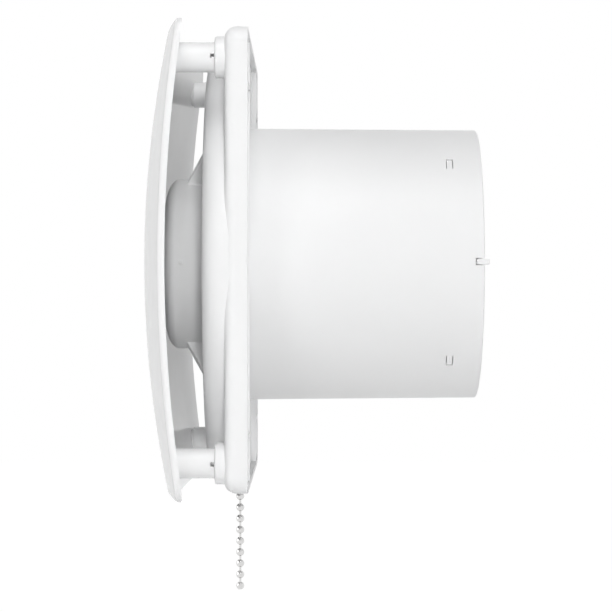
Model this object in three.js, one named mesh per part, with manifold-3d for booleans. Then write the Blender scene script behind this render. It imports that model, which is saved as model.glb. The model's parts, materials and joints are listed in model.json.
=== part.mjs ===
// Window exhaust fan: a flat-panel axial extractor fan for a 100 mm duct, with a bead-chain
// switch and a spring-closed back-draught damper. Millimetres, +Z up, +X along the duct to the
// outside. The origin is on the duct's axis, in the plane where the face frame meets the wall.

import * as THREE from 'three';
import { mergeVertices } from 'three/addons/utils/BufferGeometryUtils.js';
import Module from 'manifold-3d';

const wasm = await Module();
wasm.setup();

// ---------------------------------------------------------------- driving dimensions

const FINE = 36;                  // sides of the largest rounds
const MEDIUM = 20;                // sides of hubs, collars and posts
const SMALL = 10;                 // sides of pins, screws and holes
const GAP = 0.3;                  // clearance between pieces that touch on the real product
const WALL = 2;                   // moulded wall
const RIB = 1.6;                  // moulded stiffening rib
const DIAGONALS = [45, 135, 225, 315];

// Face frame
const FRAME_SIZE = 158;
const FRAME_DEPTH = 8;
const FRAME_CORNER = 9;
const FRAME_FILLET = 4;
const COLLAR_D = 14.3;
const COLLAR_HEIGHT = 3.4;
const WALL_SCREW_D = 4.5;
const WALL_SCREW_INSET = 19.5;    // from the frame's edges
const LEVEL_MARK_DEPTH = 0.6;     // notch in the rear rim, on the duct's level
const LEVEL_MARK_WIDTH = 2.4;

// Round inlet ring on the frame's face
const RING_MARGIN = 0.4;          // from the frame's edge, where the ring meets it
const RING_HEIGHT = 7.9;
const RING_ROUND = 7;             // how far its outer round reaches inwards
const RING_WIDTH = 18.6;          // from its outer edge to where the bell mouth starts
const MOUTH_DEPTH = 11.9;

// Duct casing
const DUCT_D = 100;
const DUCT_END_D = 98.7;
const DUCT_LENGTH = 82;
const BORE_D = 96;
const RABBET_DEPTH = 1.7;
const PLATE = 1.8;                // rear plate of the casing
const PLATE_BACK = -1.9;          // its rear face
const POCKET = 19;                // corner pockets, from the frame's edge to their level rib
const WINDOW_LENGTH = 2.5;        // snap windows near the duct's end, along the duct
const WINDOW_WIDTH = 5;
const WINDOW_SETBACK = 11.5;      // from the duct's end

// Front panel and its posts
const PANEL_OVERHANG = 2.75;      // past the frame, all round
const PANEL_CORNER = 11;
const PANEL_THICKNESS = 2.6;
const PANEL_DOME_R = 380;
const PANEL_APEX = -39.5;
const PANEL_EDGE_ROUND = 1.5;
const POST_D = 10.2;
const POST_ROOT_D = 7;            // where the post tapers into the panel
const POST_BORE_D = 7;
const POST_INSET = 10;            // from the frame's edges
const POST_END = -5;
const CATCH_LENGTH = 1;           // catch window in each post, beside its collar
const CATCH_WIDTH = 1.5;
const GUSSET_LONG = 4.4;          // gusset along the post
const GUSSET_TALL = 4.7;          // gusset along the panel

// Inlet guard with its motor pod, and the pod's cap
const POD_D = 62.4;
const POD_WALL = 1.6;
const POD_FRONT = -24.1;
const POD_BACK = -5;
const CAP_SKIRT = 3;
const CAP_SHOULDER = 10.8;        // width of the rounded shoulder, measured inwards
const CAP_SHOULDER_HEIGHT = 5.1;
const CAP_APEX = -35;
const ARM_RIBS = 7;               // ribs of the arm above the pod, and of the one below it
const ARM_RIB_PITCH = 7.2;        // degrees round the duct from rib to rib
const GUARD_RIB = 1.2;
const GUARD_RIB_SLOPE = 0.56;     // how far a rib runs back for each millimetre outwards
const GUARD_RIB_DEPTH = 7;
const RIB_MEETS_MOUTH = 45;       // degrees round the mouth's curve where the ribs reach it
const GUARD_RING_WALL = 1.5;
const GUARD_RING_LENGTH = 4.3;
const GUARD_FLANGE = 1.4;

// Motor
const SHAFT_D = 4;
const SHAFT_FRONT = -26;
const SHAFT_BACK = 18;
const BUSH_D = 8;
const BUSH_LENGTH = 3;
const CORE_CLEARANCE = 1.6;       // inside the pod
const CORE_FRONT = -20.5;
const CORE_LENGTH = 8;
const CORE_YOKE = 5;
const POLES = 4;
const POLE_WIDTH = 8;
const ROTOR_D = 25;
const AIR_GAP = 0.7;
const COIL_BUILD = 3;             // thickness of a winding round its pole
const BRACKET = 1.5;

// Impeller
const BLADES = 7;
const HUB_D = 48;
const HUB_FRONT = 1.2;
const HUB_LENGTH = 22;
const HUB_WALL = 1.8;
const HUB_BOSS_D = 9;
const TIP_CLEARANCE = 1.6;
const BLADE_ROOT_CHORD = 25;
const BLADE_TIP_CHORD = 30;
const BLADE_ROOT_PITCH = 42;      // degrees from the plane of rotation
const BLADE_TIP_PITCH = 24;
const BLADE_THICKNESS = 1.5;
const BLADE_CAMBER = 0.09;        // of the chord

// Back-draught damper
const DAMPER_SETBACK = 0.9;       // inside the duct's end
const DAMPER_LENGTH = 15.6;
const DAMPER_WALL = 1.6;
const LEDGE = 2.6;                // stop that the flaps close on
const LEDGE_THICKNESS = 1.5;
const HINGE_SETBACK = 11.4;       // from the duct's end
const PIN_D = 2;
const KNUCKLE_D = 4.4;
const KNUCKLE_LENGTH = 7;
const FLAP_THICKNESS = 1;
const FLAP_OFFSET = 1.7;          // from the pin's axis to the flap's rear face
const PEG_LENGTH = 1.6;           // end pegs that stand out past the duct's rim
const PEG_WIDTH = 2;
const SPRING_WIRE_D = 0.6;
const SPRING_COIL_D = 3.9;        // middle of the wire
const SPRING_TURNS = 3;
const SPRING_PITCH = 1.3;
const SPRING_LEG = 13;

// Bead chain, its guide and the switch
const BEAD_D = 3;
const BEAD_PITCH = 4.14;
const LINK_D = 0.8;
const CHAIN_SETBACK = 1.8;        // from the switch's rear face to the chain's middle
const CHAIN_DROP = 3.2;           // from the switch's top to the middle of the highest bead
const BEADS_INSIDE = 4;
const BEADS_HANGING = 10;
const GUIDE_WALL = 0.5;
const GUIDE_FLANGE = 0.7;
const SWITCH_LENGTH = 24;
const SWITCH_MIDDLE = -1;         // across the frame
const SWITCH_HEIGHT = 8.4;
const SWITCH_DEPTH = 6.6;
const SWITCH_SEAT = 0.7;          // from the ring's inner face to the switch
const LEVER_ARM = 9;
const LEVER_THICKNESS = 0.8;
const LEVER_EYE_D = 4.6;
const LEVER_PIVOT_D = 2;

// Terminal block, cable clamp and leads
const TERMINAL_LENGTH = 27;
const TERMINAL_HEIGHT = 8.4;
const TERMINAL_DEPTH = 8.6;
const TERMINAL_SEAT = 0.9;        // from the ring's inner face to the terminals
const TERMINAL_POLES = 3;
const LEAD_D = 2.2;
const LEAD_SETBACK = 3.4;         // from the switch's front face to the leads' middle
const LEAD_STEPS = 26;
const CABLE_HOLE_D = 9;
const CABLE_SPOT = 27;            // across the frame, level with the terminals
const BOSS_D = 6.4;
const SCREW_D = 2.6;
const SCREW_HEAD_D = 5.6;
const SCREW_SETBACK = 4.5;        // outwards from the bell mouth's start

// ---------------------------------------------------------------- places that follow

const frameHalf = FRAME_SIZE / 2;
const frameInner = frameHalf - WALL;
const ringR = frameHalf - RING_MARGIN;
const ringFront = -FRAME_DEPTH - RING_HEIGHT;
const mouthR = ringR - RING_WIDTH;
const postSpot = frameHalf - POST_INSET;
const wallScrewSpot = frameHalf - WALL_SCREW_INSET;
const screwSpot = (mouthR + SCREW_SETBACK) * Math.SQRT1_2;
const boreR = BORE_D / 2;
const ductR = DUCT_D / 2;
const bellBack = ringFront + MOUTH_DEPTH;
const plateFront = PLATE_BACK - PLATE;
const tubeFront = plateFront + RABBET_DEPTH;
const podR = POD_D / 2;
const podInner = podR - POD_WALL;
const shaftR = SHAFT_D / 2;
const bushBore = shaftR + GAP;
const coreR = podInner - CORE_CLEARANCE;
const coreBack = CORE_FRONT + CORE_LENGTH;
const hubR = HUB_D / 2;
const damperR = boreR - GAP - 0.5;
const damperInner = damperR - DAMPER_WALL;
const damperBack = DUCT_LENGTH - DAMPER_SETBACK;
const damperFront = damperBack - DAMPER_LENGTH;
const windowX = DUCT_LENGTH - WINDOW_SETBACK;
const hingeX = DUCT_LENGTH - HINGE_SETBACK;
const flapBack = hingeX - FLAP_OFFSET;
const flapFront = flapBack - FLAP_THICKNESS;
const ledgeBack = flapFront - GAP;
const knuckleBore = PIN_D / 2 + GAP;
const guideBore = BEAD_D / 2 + GAP;
const guideR = guideBore + GUIDE_WALL;
const switchFront = ringFront + WALL + SWITCH_SEAT;
const switchBack = switchFront + SWITCH_DEPTH;
const chainX = switchBack + CHAIN_SETBACK;
const leadX = switchFront + LEAD_SETBACK;
const terminalFront = ringFront + WALL + TERMINAL_SEAT;
const terminalBack = terminalFront + TERMINAL_DEPTH;
const switchTop = -(mouthR + WALL);
const chainTop = switchTop - CHAIN_DROP;
const leverZ = chainTop - BEAD_D / 2 - GAP - LEVER_THICKNESS / 2;
const terminalBottom = mouthR + WALL;
const bushFront = CORE_FRONT - BUSH_LENGTH - 1;

// ---------------------------------------------------------------- solids

const TURN = Math.PI * 2;
const radians = (degrees) => (degrees * Math.PI) / 180;

// A closed geometry as a solid, with its faces pointing out.
function solid(geometry) {
  const bare = geometry.index ? geometry.toNonIndexed() : geometry.clone();
  bare.deleteAttribute('normal');
  bare.deleteAttribute('uv');
  const merged = mergeVertices(bare, 1e-5);
  const corners = merged.attributes.position.array;
  const index = [];
  let volume = 0;
  const [a, b, c] = [new THREE.Vector3(), new THREE.Vector3(), new THREE.Vector3()];
  for (let i = 0; i < merged.index.count; i += 3) {
    const triangle = [0, 1, 2].map((k) => merged.index.getX(i + k));
    if (new Set(triangle).size < 3) continue;
    [a, b, c].forEach((p, k) => p.fromArray(corners, 3 * triangle[k]));
    volume += a.dot(b.cross(c));
    index.push(...triangle);
  }
  if (volume < 0) index.reverse();
  const mesh = new wasm.Mesh({
    numProp: 3,
    vertProperties: new Float32Array(corners),
    triVerts: new Uint32Array(index),
  });
  return new wasm.Manifold(mesh);
}

function geometryOf(body) {
  const mesh = body.getMesh();
  const geometry = new THREE.BufferGeometry();
  geometry.setAttribute('position', new THREE.Float32BufferAttribute(mesh.vertProperties, 3));
  geometry.setIndex(new THREE.Uint32BufferAttribute(mesh.triVerts, 1));
  geometry.computeVertexNormals();
  return geometry;
}

const span = (a, b) => [Math.min(a, b), Math.max(a, b)];
const join = (first, ...others) => others.flat().reduce((whole, next) => whole.add(next), first);
const cut = (first, ...tools) => tools.flat().reduce((whole, tool) => whole.subtract(tool), first);

// Points of an elliptical arc in a profile of [x, radius].
function arc(x, r, alongX, alongR, from, to, steps) {
  return Array.from({ length: steps + 1 }, (_, i) => {
    const angle = radians(from + ((to - from) * i) / steps);
    return [x + alongX * Math.cos(angle), r + alongR * Math.sin(angle)];
  });
}

// Turns a closed profile of [x, radius] about the duct's axis.
function turned(profile, sides = FINE) {
  const points = [...profile, profile[0]].map(([x, r]) => new THREE.Vector2(r, x));
  return solid(new THREE.LatheGeometry(points, sides).rotateZ(-Math.PI / 2));
}

const ring = (x0, x1, inner, outer, sides) =>
  turned([[x0, inner], [x0, outer], [x1, outer], [x1, inner]], sides);

// A rod between two points, of one radius or tapered.
function rod(from, to, radius, sides = SMALL, endRadius = radius) {
  const [start, end] = [new THREE.Vector3(...from), new THREE.Vector3(...to)];
  const along = end.clone().sub(start);
  const geometry = new THREE.CylinderGeometry(endRadius, radius, along.length(), sides);
  const up = new THREE.Vector3(0, 1, 0);
  geometry.applyQuaternion(new THREE.Quaternion().setFromUnitVectors(up, along.clone().normalize()));
  geometry.translate(...start.add(end).multiplyScalar(0.5).toArray());
  return solid(geometry);
}

const rodX = (x0, x1, radius, y = 0, z = 0, sides = SMALL) => rod([x0, y, z], [x1, y, z], radius, sides);

// A box from its lowest and highest corners.
function block([x0, y0, z0], [x1, y1, z1]) {
  const geometry = new THREE.BoxGeometry(x1 - x0, y1 - y0, z1 - z0);
  return solid(geometry.translate((x0 + x1) / 2, (y0 + y1) / 2, (z0 + z1) / 2));
}

// Extrudes an outline of [y, z] points from x0 to x1.
function plate(outline, x0, x1) {
  const shape = new THREE.Shape(outline.map(([y, z]) => new THREE.Vector2(y, z)));
  const geometry = new THREE.ExtrudeGeometry(shape, { depth: x1 - x0, bevelEnabled: false });
  geometry.applyMatrix4(new THREE.Matrix4().makeBasis(
    new THREE.Vector3(0, 1, 0), new THREE.Vector3(0, 0, 1), new THREE.Vector3(1, 0, 0),
  ));
  return solid(geometry.translate(x0, 0, 0));
}

// Extrudes an outline of [x, z] points across the frame, from y0 to y1.
function sidePlate(outline, y0, y1) {
  const shape = new THREE.Shape(outline.map(([x, z]) => new THREE.Vector2(x, z)));
  const geometry = new THREE.ExtrudeGeometry(shape, { depth: y1 - y0, bevelEnabled: false });
  return solid(geometry.rotateX(Math.PI / 2).translate(0, y1, 0));
}

const spunX = (body, degrees) => body.rotate([degrees, 0, 0]);
const moved = (body, x, y, z) => body.translate([x, y, z]);

// Outline of a square with round corners, as [y, z] points.
function roundedSquare(half, corner, sideSteps = 1, cornerSteps = 5) {
  const points = [];
  for (let k = 0; k < 4; k += 1) {
    const turn = radians(90 * k);
    const place = (y, z) => points.push([
      y * Math.cos(turn) - z * Math.sin(turn),
      y * Math.sin(turn) + z * Math.cos(turn),
    ]);
    for (let i = 1; i < sideSteps; i += 1) {
      place(half, (half - corner) * ((2 * i) / sideSteps - 1));
    }
    for (let i = 0; i <= cornerSteps; i += 1) {
      const angle = radians((90 * i) / cornerSteps);
      place(half - corner + corner * Math.cos(angle), half - corner + corner * Math.sin(angle));
    }
  }
  return points;
}

// Skins a row of rings of equal count, [x, y, z] each, and closes both ends with a fan.
function loft(rings) {
  const count = rings[0].length;
  const middle = (points) => [0, 1, 2].map((k) => points.reduce((sum, p) => sum + p[k], 0) / count);
  const points = [...rings.flat(), middle(rings[0]), middle(rings[rings.length - 1])];
  const index = [];
  const at = (row, i) => row * count + (i % count);
  for (let i = 0; i < count; i += 1) {
    for (let row = 0; row + 1 < rings.length; row += 1) {
      index.push(at(row, i), at(row, i + 1), at(row + 1, i));
      index.push(at(row, i + 1), at(row + 1, i + 1), at(row + 1, i));
    }
    index.push(at(0, i + 1), at(0, i), points.length - 2);
    index.push(at(rings.length - 1, i), at(rings.length - 1, i + 1), points.length - 1);
  }
  const geometry = new THREE.BufferGeometry();
  geometry.setAttribute('position', new THREE.Float32BufferAttribute(points.flat(), 3));
  geometry.setIndex(index);
  return solid(geometry);
}

// A round wire along a smooth curve through its points.
function wire(points, diameter, steps, sides) {
  const curve = new THREE.CatmullRomCurve3(points.map((p) => new THREE.Vector3(...p)));
  const section = new THREE.Shape();
  for (let i = 0; i < sides; i += 1) {
    const angle = (TURN * i) / sides;
    const corner = [(diameter / 2) * Math.cos(angle), (diameter / 2) * Math.sin(angle)];
    if (i) section.lineTo(...corner);
    else section.moveTo(...corner);
  }
  return solid(new THREE.ExtrudeGeometry(section, { steps, extrudePath: curve, curveSegments: 1 }));
}

// The four corners [y, z] at one distance from the axis, across and up.
const corners = (spot) => [[-spot, spot], [spot, spot], [-spot, -spot], [spot, -spot]];

// ---------------------------------------------------------------- face frame

// Profile of the inlet ring's wall: outer round, flat front, bell mouth, and back inside.
function ringProfile(inset) {
  const outerR = ringR - inset;
  const front = ringFront + inset;
  const crest = ringR - RING_ROUND;
  const height = RING_HEIGHT - inset;
  return [
    [-FRAME_DEPTH + WALL, outerR],
    ...arc(-FRAME_DEPTH, crest, -height, outerR - crest, 90, 0, inset ? 2 : 4),
    ...arc(bellBack, mouthR, -(bellBack - front), -(mouthR - boreR - inset), 0, 90, inset ? 3 : 5),
  ];
}

function faceFrame() {
  const filletRings = [0, 30, 60, 90].map((degrees) => {
    const inset = FRAME_FILLET * (1 - Math.cos(radians(degrees)));
    const x = -FRAME_DEPTH + FRAME_FILLET * (1 - Math.sin(radians(degrees)));
    return roundedSquare(frameHalf - inset, FRAME_CORNER - inset).map(([y, z]) => [x, y, z]);
  });
  const rearRing = roundedSquare(frameHalf, FRAME_CORNER).map(([y, z]) => [0, y, z]);
  const hollow = plate(roundedSquare(frameInner, FRAME_CORNER - WALL), -FRAME_DEPTH + WALL, 1);
  const ringSeat = rodX(-FRAME_DEPTH - 1, -FRAME_DEPTH + WALL + 1, ringR - WALL, 0, 0, FINE);
  const ringWall = turned([...ringProfile(0), ...ringProfile(WALL).reverse()]);
  const collarBack = -FRAME_DEPTH + WALL;
  const collars = corners(postSpot).map(([y, z]) =>
    rodX(-FRAME_DEPTH - COLLAR_HEIGHT, collarBack, COLLAR_D / 2, y, z, MEDIUM));
  const postHoles = corners(postSpot).map(([y, z]) =>
    rodX(-FRAME_DEPTH - COLLAR_HEIGHT - 1, 0, POST_D / 2 + GAP, y, z, MEDIUM));
  const wallScrewHoles = corners(wallScrewSpot).map(([y, z]) =>
    rodX(-FRAME_DEPTH - 1, 0, WALL_SCREW_D / 2, y, z));
  const bosses = screwPlaces().map(([y, z]) =>
    cut(
      rodX(ringFront + WALL / 2, plateFront - GAP, BOSS_D / 2, y, z),
      rodX(ringFront + WALL + 1, 0, SCREW_D / 2 + GAP, y, z),
    ));
  const guideHole = rod([chainX, 0, -frameHalf - 1], [chainX, 0, -frameInner + 3], guideR + GAP);
  const levelMark = block([-LEVEL_MARK_DEPTH, -frameHalf - 1, -LEVEL_MARK_WIDTH / 2],
    [1, -frameInner + 1, LEVEL_MARK_WIDTH / 2]);
  const shell = cut(loft([rearRing, ...filletRings]), hollow, ringSeat);
  return cut(join(shell, ringWall, collars, bosses), postHoles, wallScrewHoles, guideHole,
    leadHole(), levelMark);
}

// Screws that hold the duct casing in the frame.
function screwPlaces() {
  return corners(screwSpot);
}

// The hole that lets the motor's lead out of the pod and through the bell mouth's wall.
function leadHole() {
  return rod([leadX, LEAD_D, -mouthR], [leadX, LEAD_D, -podInner + 1], LEAD_D / 2 + GAP);
}

// ---------------------------------------------------------------- duct casing

function ductCasing() {
  const endR = DUCT_END_D / 2;
  const rim = 0.5;
  const tube = turned([
    [plateFront, boreR + WALL],
    [plateFront, boreR + 2 * WALL],
    [PLATE_BACK, boreR + 2 * WALL],
    [PLATE_BACK, ductR],
    [DUCT_LENGTH - rim, endR],
    [DUCT_LENGTH, endR - rim],
    [DUCT_LENGTH, boreR],
    [tubeFront, boreR],
    [tubeFront, boreR + WALL],
  ]);
  const plateHalf = frameInner - GAP;
  const rear = cut(
    plate(roundedSquare(plateHalf, FRAME_CORNER - WALL - GAP), plateFront, PLATE_BACK),
    rodX(plateFront - 1, 0, boreR + 1.5 * WALL, 0, 0, FINE),
  );
  const ribHalf = plateHalf - 0.4;
  const uprights = [-1, 1].map((side) =>
    cut(
      block([PLATE_BACK - 0.1, side * ductR - RIB / 2, -ribHalf],
        [0, side * ductR + RIB / 2, ribHalf]),
      rodX(-FRAME_DEPTH, 1, boreR + 0.5 * WALL, 0, 0, FINE),
    ));
  const levels = [-1, 1].flatMap((side) => [-1, 1].map((end) => {
    const [near, far] = span(side * ductR, side * ribHalf);
    const z = end * (frameHalf - POCKET);
    return block([PLATE_BACK - 0.5, near, z - RIB / 2], [0, far, z + RIB / 2]);
  }));
  const windows = DIAGONALS.map((degrees) =>
    spunX(block(
      [windowX - WINDOW_LENGTH / 2, -WINDOW_WIDTH / 2, boreR - 1],
      [windowX + WINDOW_LENGTH / 2, WINDOW_WIDTH / 2, ductR + 1],
    ), degrees));
  const pegNotches = [-1, 1].map((side) => {
    const [near, far] = span(side * (boreR - 1), side * (ductR + 1));
    const halfWidth = PEG_WIDTH / 2 + GAP;
    return block([damperBack - 2.4, near, -halfWidth], [DUCT_LENGTH + 1, far, halfWidth]);
  });
  const screwHoles = screwPlaces().map(([y, z]) => rodX(plateFront - 1, 0, SCREW_D / 2 + GAP, y, z));
  const headRoom = screwPlaces().map(([y, z]) => rodX(PLATE_BACK, 1, SCREW_HEAD_D / 2 + GAP, y, z));
  const wallScrewHoles = corners(wallScrewSpot).map(([y, z]) =>
    rodX(plateFront - 1, 1, WALL_SCREW_D / 2 + GAP, y, z));
  const postRoom = corners(postSpot).map(([y, z]) => rodX(plateFront - 1, 1, POST_D / 2, y, z));
  const leverBay = block([plateFront - 1, -LEVER_ARM - LEVER_EYE_D / 2 - GAP, -frameHalf],
    [1, guideR + GUIDE_FLANGE + GAP, switchTop]);
  const cableHole = rodX(plateFront - 1, 1, CABLE_HOLE_D / 2, CABLE_SPOT, terminalBottom, 16);
  return cut(join(tube, rear, uprights, levels), windows, pegNotches, screwHoles, headRoom,
    wallScrewHoles, postRoom, leverBay, cableHole);
}

function frameScrew([y, z]) {
  const seat = PLATE_BACK + GAP;
  return join(
    rodX(ringFront + WALL + 3, seat + 0.2, SCREW_D / 2, y, z, 8),
    rodX(seat, -GAP, SCREW_HEAD_D / 2, y, z),
  );
}

// ---------------------------------------------------------------- front panel

// How far the domed panel's front lies along X at a place across and up.
function panelFront(y, z) {
  return PANEL_APEX + PANEL_DOME_R - Math.sqrt(PANEL_DOME_R ** 2 - y ** 2 - z ** 2);
}

function frontPanel() {
  const half = frameHalf + PANEL_OVERHANG;
  const ringAt = (inset, depth) =>
    roundedSquare(half - inset, PANEL_CORNER * (1 - inset / half), 6, 4)
      .map(([y, z]) => [panelFront(y, z) + depth, y, z]);
  const steps = [0.95, 0.65, 0.33];
  const round = PANEL_EDGE_ROUND;
  const rings = [
    ...steps.map((share) => ringAt(half * share, 0)),
    ringAt(round, 0),
    ringAt(round * 0.3, round * 0.3),
    ringAt(0, round),
    ringAt(0, PANEL_THICKNESS - 0.4),
    ringAt(0.4, PANEL_THICKNESS),
    ...[0.5, 0.95].map((share) => ringAt(half * share, PANEL_THICKNESS)),
  ];
  const shell = loft(rings);
  const posts = corners(postSpot).flatMap(([y, z]) => {
    const root = panelFront(y, z) + PANEL_THICKNESS / 2;
    const taper = [root + POST_D / 2 - POST_ROOT_D / 2, y, z];
    return [
      rod([root, y, z], taper, POST_ROOT_D / 2, MEDIUM, POST_D / 2),
      rod(taper, [POST_END, y, z], POST_D / 2, MEDIUM),
    ];
  });
  const bores = corners(postSpot).map(([y, z]) =>
    rodX(panelFront(y, z) + 2.5 * PANEL_THICKNESS, POST_END + 1, POST_BORE_D / 2, y, z));
  const collarFront = -FRAME_DEPTH - COLLAR_HEIGHT;
  const catches = corners(postSpot).map(([y, z]) =>
    block([collarFront - 0.5 - CATCH_LENGTH, y - POST_D, z + 0.7 - CATCH_WIDTH / 2],
      [collarFront - 0.5, y + POST_D, z + 0.7 + CATCH_WIDTH / 2]));
  const gussets = corners(postSpot).map(([y, z]) => {
    const edge = z - POST_D / 2 + 0.6;
    const inside = edge - GUSSET_TALL - 0.6;
    const [root, foot] = [panelFront(y, edge), panelFront(y, inside)];
    const outline = [
      [root + PANEL_THICKNESS / 2, edge],
      [root + PANEL_THICKNESS + GUSSET_LONG, edge],
      [foot + PANEL_THICKNESS, inside],
      [foot + PANEL_THICKNESS / 2, inside],
    ];
    return z < 0 ? sidePlate(outline, y - RIB / 2, y + RIB / 2) : null;
  }).filter(Boolean);
  return cut(join(shell, posts, gussets), bores, catches);
}

// ---------------------------------------------------------------- inlet guard and pod cap

function inletGuard() {
  const pod = ring(POD_FRONT + GAP, POD_BACK, podInner, podR);
  const podWall = ring(POD_BACK - WALL, POD_BACK, BUSH_D / 2 + 1.5, podR - POD_WALL / 2);
  const rimR = boreR - GAP;
  const rimInner = rimR - GUARD_RING_WALL;
  const flangeFront = bellBack + GAP;
  const rimFront = flangeFront - GUARD_RING_LENGTH;
  const rim = turned([
    [rimFront, rimInner],
    [rimFront, rimR],
    [flangeFront, rimR],
    [flangeFront, boreR + WALL - GAP],
    [flangeFront + GUARD_FLANGE, boreR + WALL - GAP],
    [flangeFront + GUARD_FLANGE, rimInner],
  ]);
  const root = podR - POD_WALL / 2;
  const runBack = (r) => POD_FRONT + GAP + GUARD_RIB_SLOPE * (r - podR);
  const ease = 2 * GAP;
  const [mouthX, mouthIn] = [-(MOUTH_DEPTH + ease), -(mouthR - boreR + ease)];
  const throat = arc(bellBack, mouthR, mouthX, mouthIn, RIB_MEETS_MOUTH, 70, 2);
  const ribOutline = [
    [POD_FRONT + GAP, -root],
    [POD_FRONT + GAP, -podR],
    ...throat.map(([x, r]) => [x, -r]),
    [rimFront + 1, -(rimInner + 0.5)],
    [rimFront, -(rimInner + 0.5)],
    [runBack(root) + GUARD_RIB_DEPTH, -root],
  ];
  const rib = sidePlate(ribOutline, -GUARD_RIB / 2, GUARD_RIB / 2);
  const ribs = [0, 180].flatMap((arm) => Array.from({ length: ARM_RIBS }, (_, i) =>
    spunX(rib, arm + ARM_RIB_PITCH * (i - (ARM_RIBS - 1) / 2))));
  const screwHoles = motorScrewPlaces().map(([y, z]) =>
    rodX(POD_BACK - WALL - 1, POD_BACK + 1, SCREW_D / 2 + GAP, y, z));
  return cut(join(pod, podWall, rim, ribs), screwHoles, leadHole());
}

function motorScrewPlaces() {
  return [[20, 0], [-20, 0]];
}

function podCap() {
  const shoulderBack = POD_FRONT - CAP_SKIRT;
  const shoulderFront = shoulderBack - CAP_SHOULDER_HEIGHT;
  const crownR = podR - CAP_SHOULDER;
  const crownRise = shoulderFront - CAP_APEX;
  const profile = (inset) => [
    ...arc(shoulderBack, crownR, -(CAP_SHOULDER_HEIGHT - inset), CAP_SHOULDER - inset, 90, 0, inset ? 2 : 3),
    ...(inset ? [0.6, 0] : [0.7, 0.35, 0]).map((share) => [
      shoulderFront + inset - crownRise * (1 - share ** 2),
      crownR * share,
    ]),
  ];
  const lipR = podInner - GAP;
  const outline = [
    [POD_FRONT, lipR],
    [POD_FRONT, podR],
    ...profile(0),
    ...profile(POD_WALL).reverse(),
    [POD_FRONT + 3, podR - POD_WALL - 1.4],
    [POD_FRONT + 3, lipR],
  ];
  const shell = turned(outline);
  const latches = [-1, 1].map((side) => {
    const [near, far] = span(side * (podR - 0.6), side * (podR + 0.9));
    return block([POD_FRONT - 1.7, near, -0.6], [POD_FRONT - 0.1, far, 0.6]);
  });
  return join(shell, latches);
}

// ---------------------------------------------------------------- motor

function statorCore() {
  const poleTip = ROTOR_D / 2 + AIR_GAP;
  const yoke = ring(CORE_FRONT, coreBack, coreR - CORE_YOKE, coreR, MEDIUM);
  const shoe = ring(CORE_FRONT, coreBack, poleTip, poleTip + 2.2, MEDIUM);
  const poles = Array.from({ length: POLES }, (_, i) =>
    spunX(block([CORE_FRONT, -POLE_WIDTH / 2, poleTip + 1], [coreBack, POLE_WIDTH / 2, coreR - 1]),
      (360 * i) / POLES));
  const slots = Array.from({ length: POLES }, (_, i) =>
    spunX(block([CORE_FRONT - 1, -1.2, poleTip - 2], [coreBack + 1, 1.2, poleTip + 4]),
      (360 * (i + 0.5)) / POLES));
  return join(cut(shoe, slots), poles, yoke);
}

// One winding: a round-cornered loop about its pole, drawn standing on the upper pole.
function winding() {
  const low = ROTOR_D / 2 + AIR_GAP + 2.2 + GAP;
  const innerX = CORE_LENGTH / 2 + GAP;
  const innerY = POLE_WIDTH / 2 + GAP;
  const high = Math.sqrt((coreR - CORE_YOKE) ** 2 - (innerY + COIL_BUILD) ** 2) - 2 * GAP;
  const loop = (x, y, round) => {
    const shape = new THREE.Shape();
    shape.moveTo(x - round, -y);
    shape.quadraticCurveTo(x, -y, x, -y + round);
    shape.lineTo(x, y - round);
    shape.quadraticCurveTo(x, y, x - round, y);
    shape.lineTo(-x + round, y);
    shape.quadraticCurveTo(-x, y, -x, y - round);
    shape.lineTo(-x, -y + round);
    shape.quadraticCurveTo(-x, -y, -x + round, -y);
    return shape;
  };
  const outer = loop(innerX + COIL_BUILD, innerY + COIL_BUILD, COIL_BUILD);
  outer.holes.push(loop(innerX, innerY, 0.5));
  const options = { depth: high - low, bevelEnabled: false, curveSegments: 2 };
  const geometry = new THREE.ExtrudeGeometry(outer, options);
  return solid(geometry.translate((CORE_FRONT + coreBack) / 2, 0, low));
}

// End bracket of the motor: a three-armed spider with the bush's seat in its middle.
function motorBracket(front, hubFront, hubBack, screws) {
  const seat = BUSH_D / 2 + 1.2;
  const rim = ring(front, front + BRACKET, coreR - 2.5, coreR, MEDIUM);
  const hub = ring(hubFront, hubBack, BUSH_D / 2 + 0.1, seat, 16);
  const arms = Array.from({ length: POLES }, (_, i) =>
    spunX(block([front, -3, seat - 0.5], [front + BRACKET, 3, coreR - 1]), (360 * (i + 0.5)) / POLES));
  const pads = screws.map(([y, z]) => {
    const inner = Math.min(Math.abs(y), coreR - 2) - SCREW_HEAD_D / 2;
    const [near, far] = span(Math.sign(y) * inner, Math.sign(y) * (coreR - 1));
    return cut(
      block([front, near, -4], [front + BRACKET, far, 4]),
      rodX(front - 1, front + BRACKET + 1, SCREW_D / 2 + GAP, y, z),
    );
  });
  return join(rim, hub, arms, pads);
}

const rearBracketFront = POD_BACK - WALL - GAP - BRACKET;
const frontBracketFront = CORE_FRONT - BRACKET - COIL_BUILD - 2 * GAP;

function motorScrew([y, z]) {
  return join(
    rodX(rearBracketFront, POD_BACK + GAP + 0.2, SCREW_D / 2, y, z, 8),
    rodX(POD_BACK + GAP, POD_BACK + GAP + 1.6, SCREW_HEAD_D / 2, y, z),
  );
}

// ---------------------------------------------------------------- impeller

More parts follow.
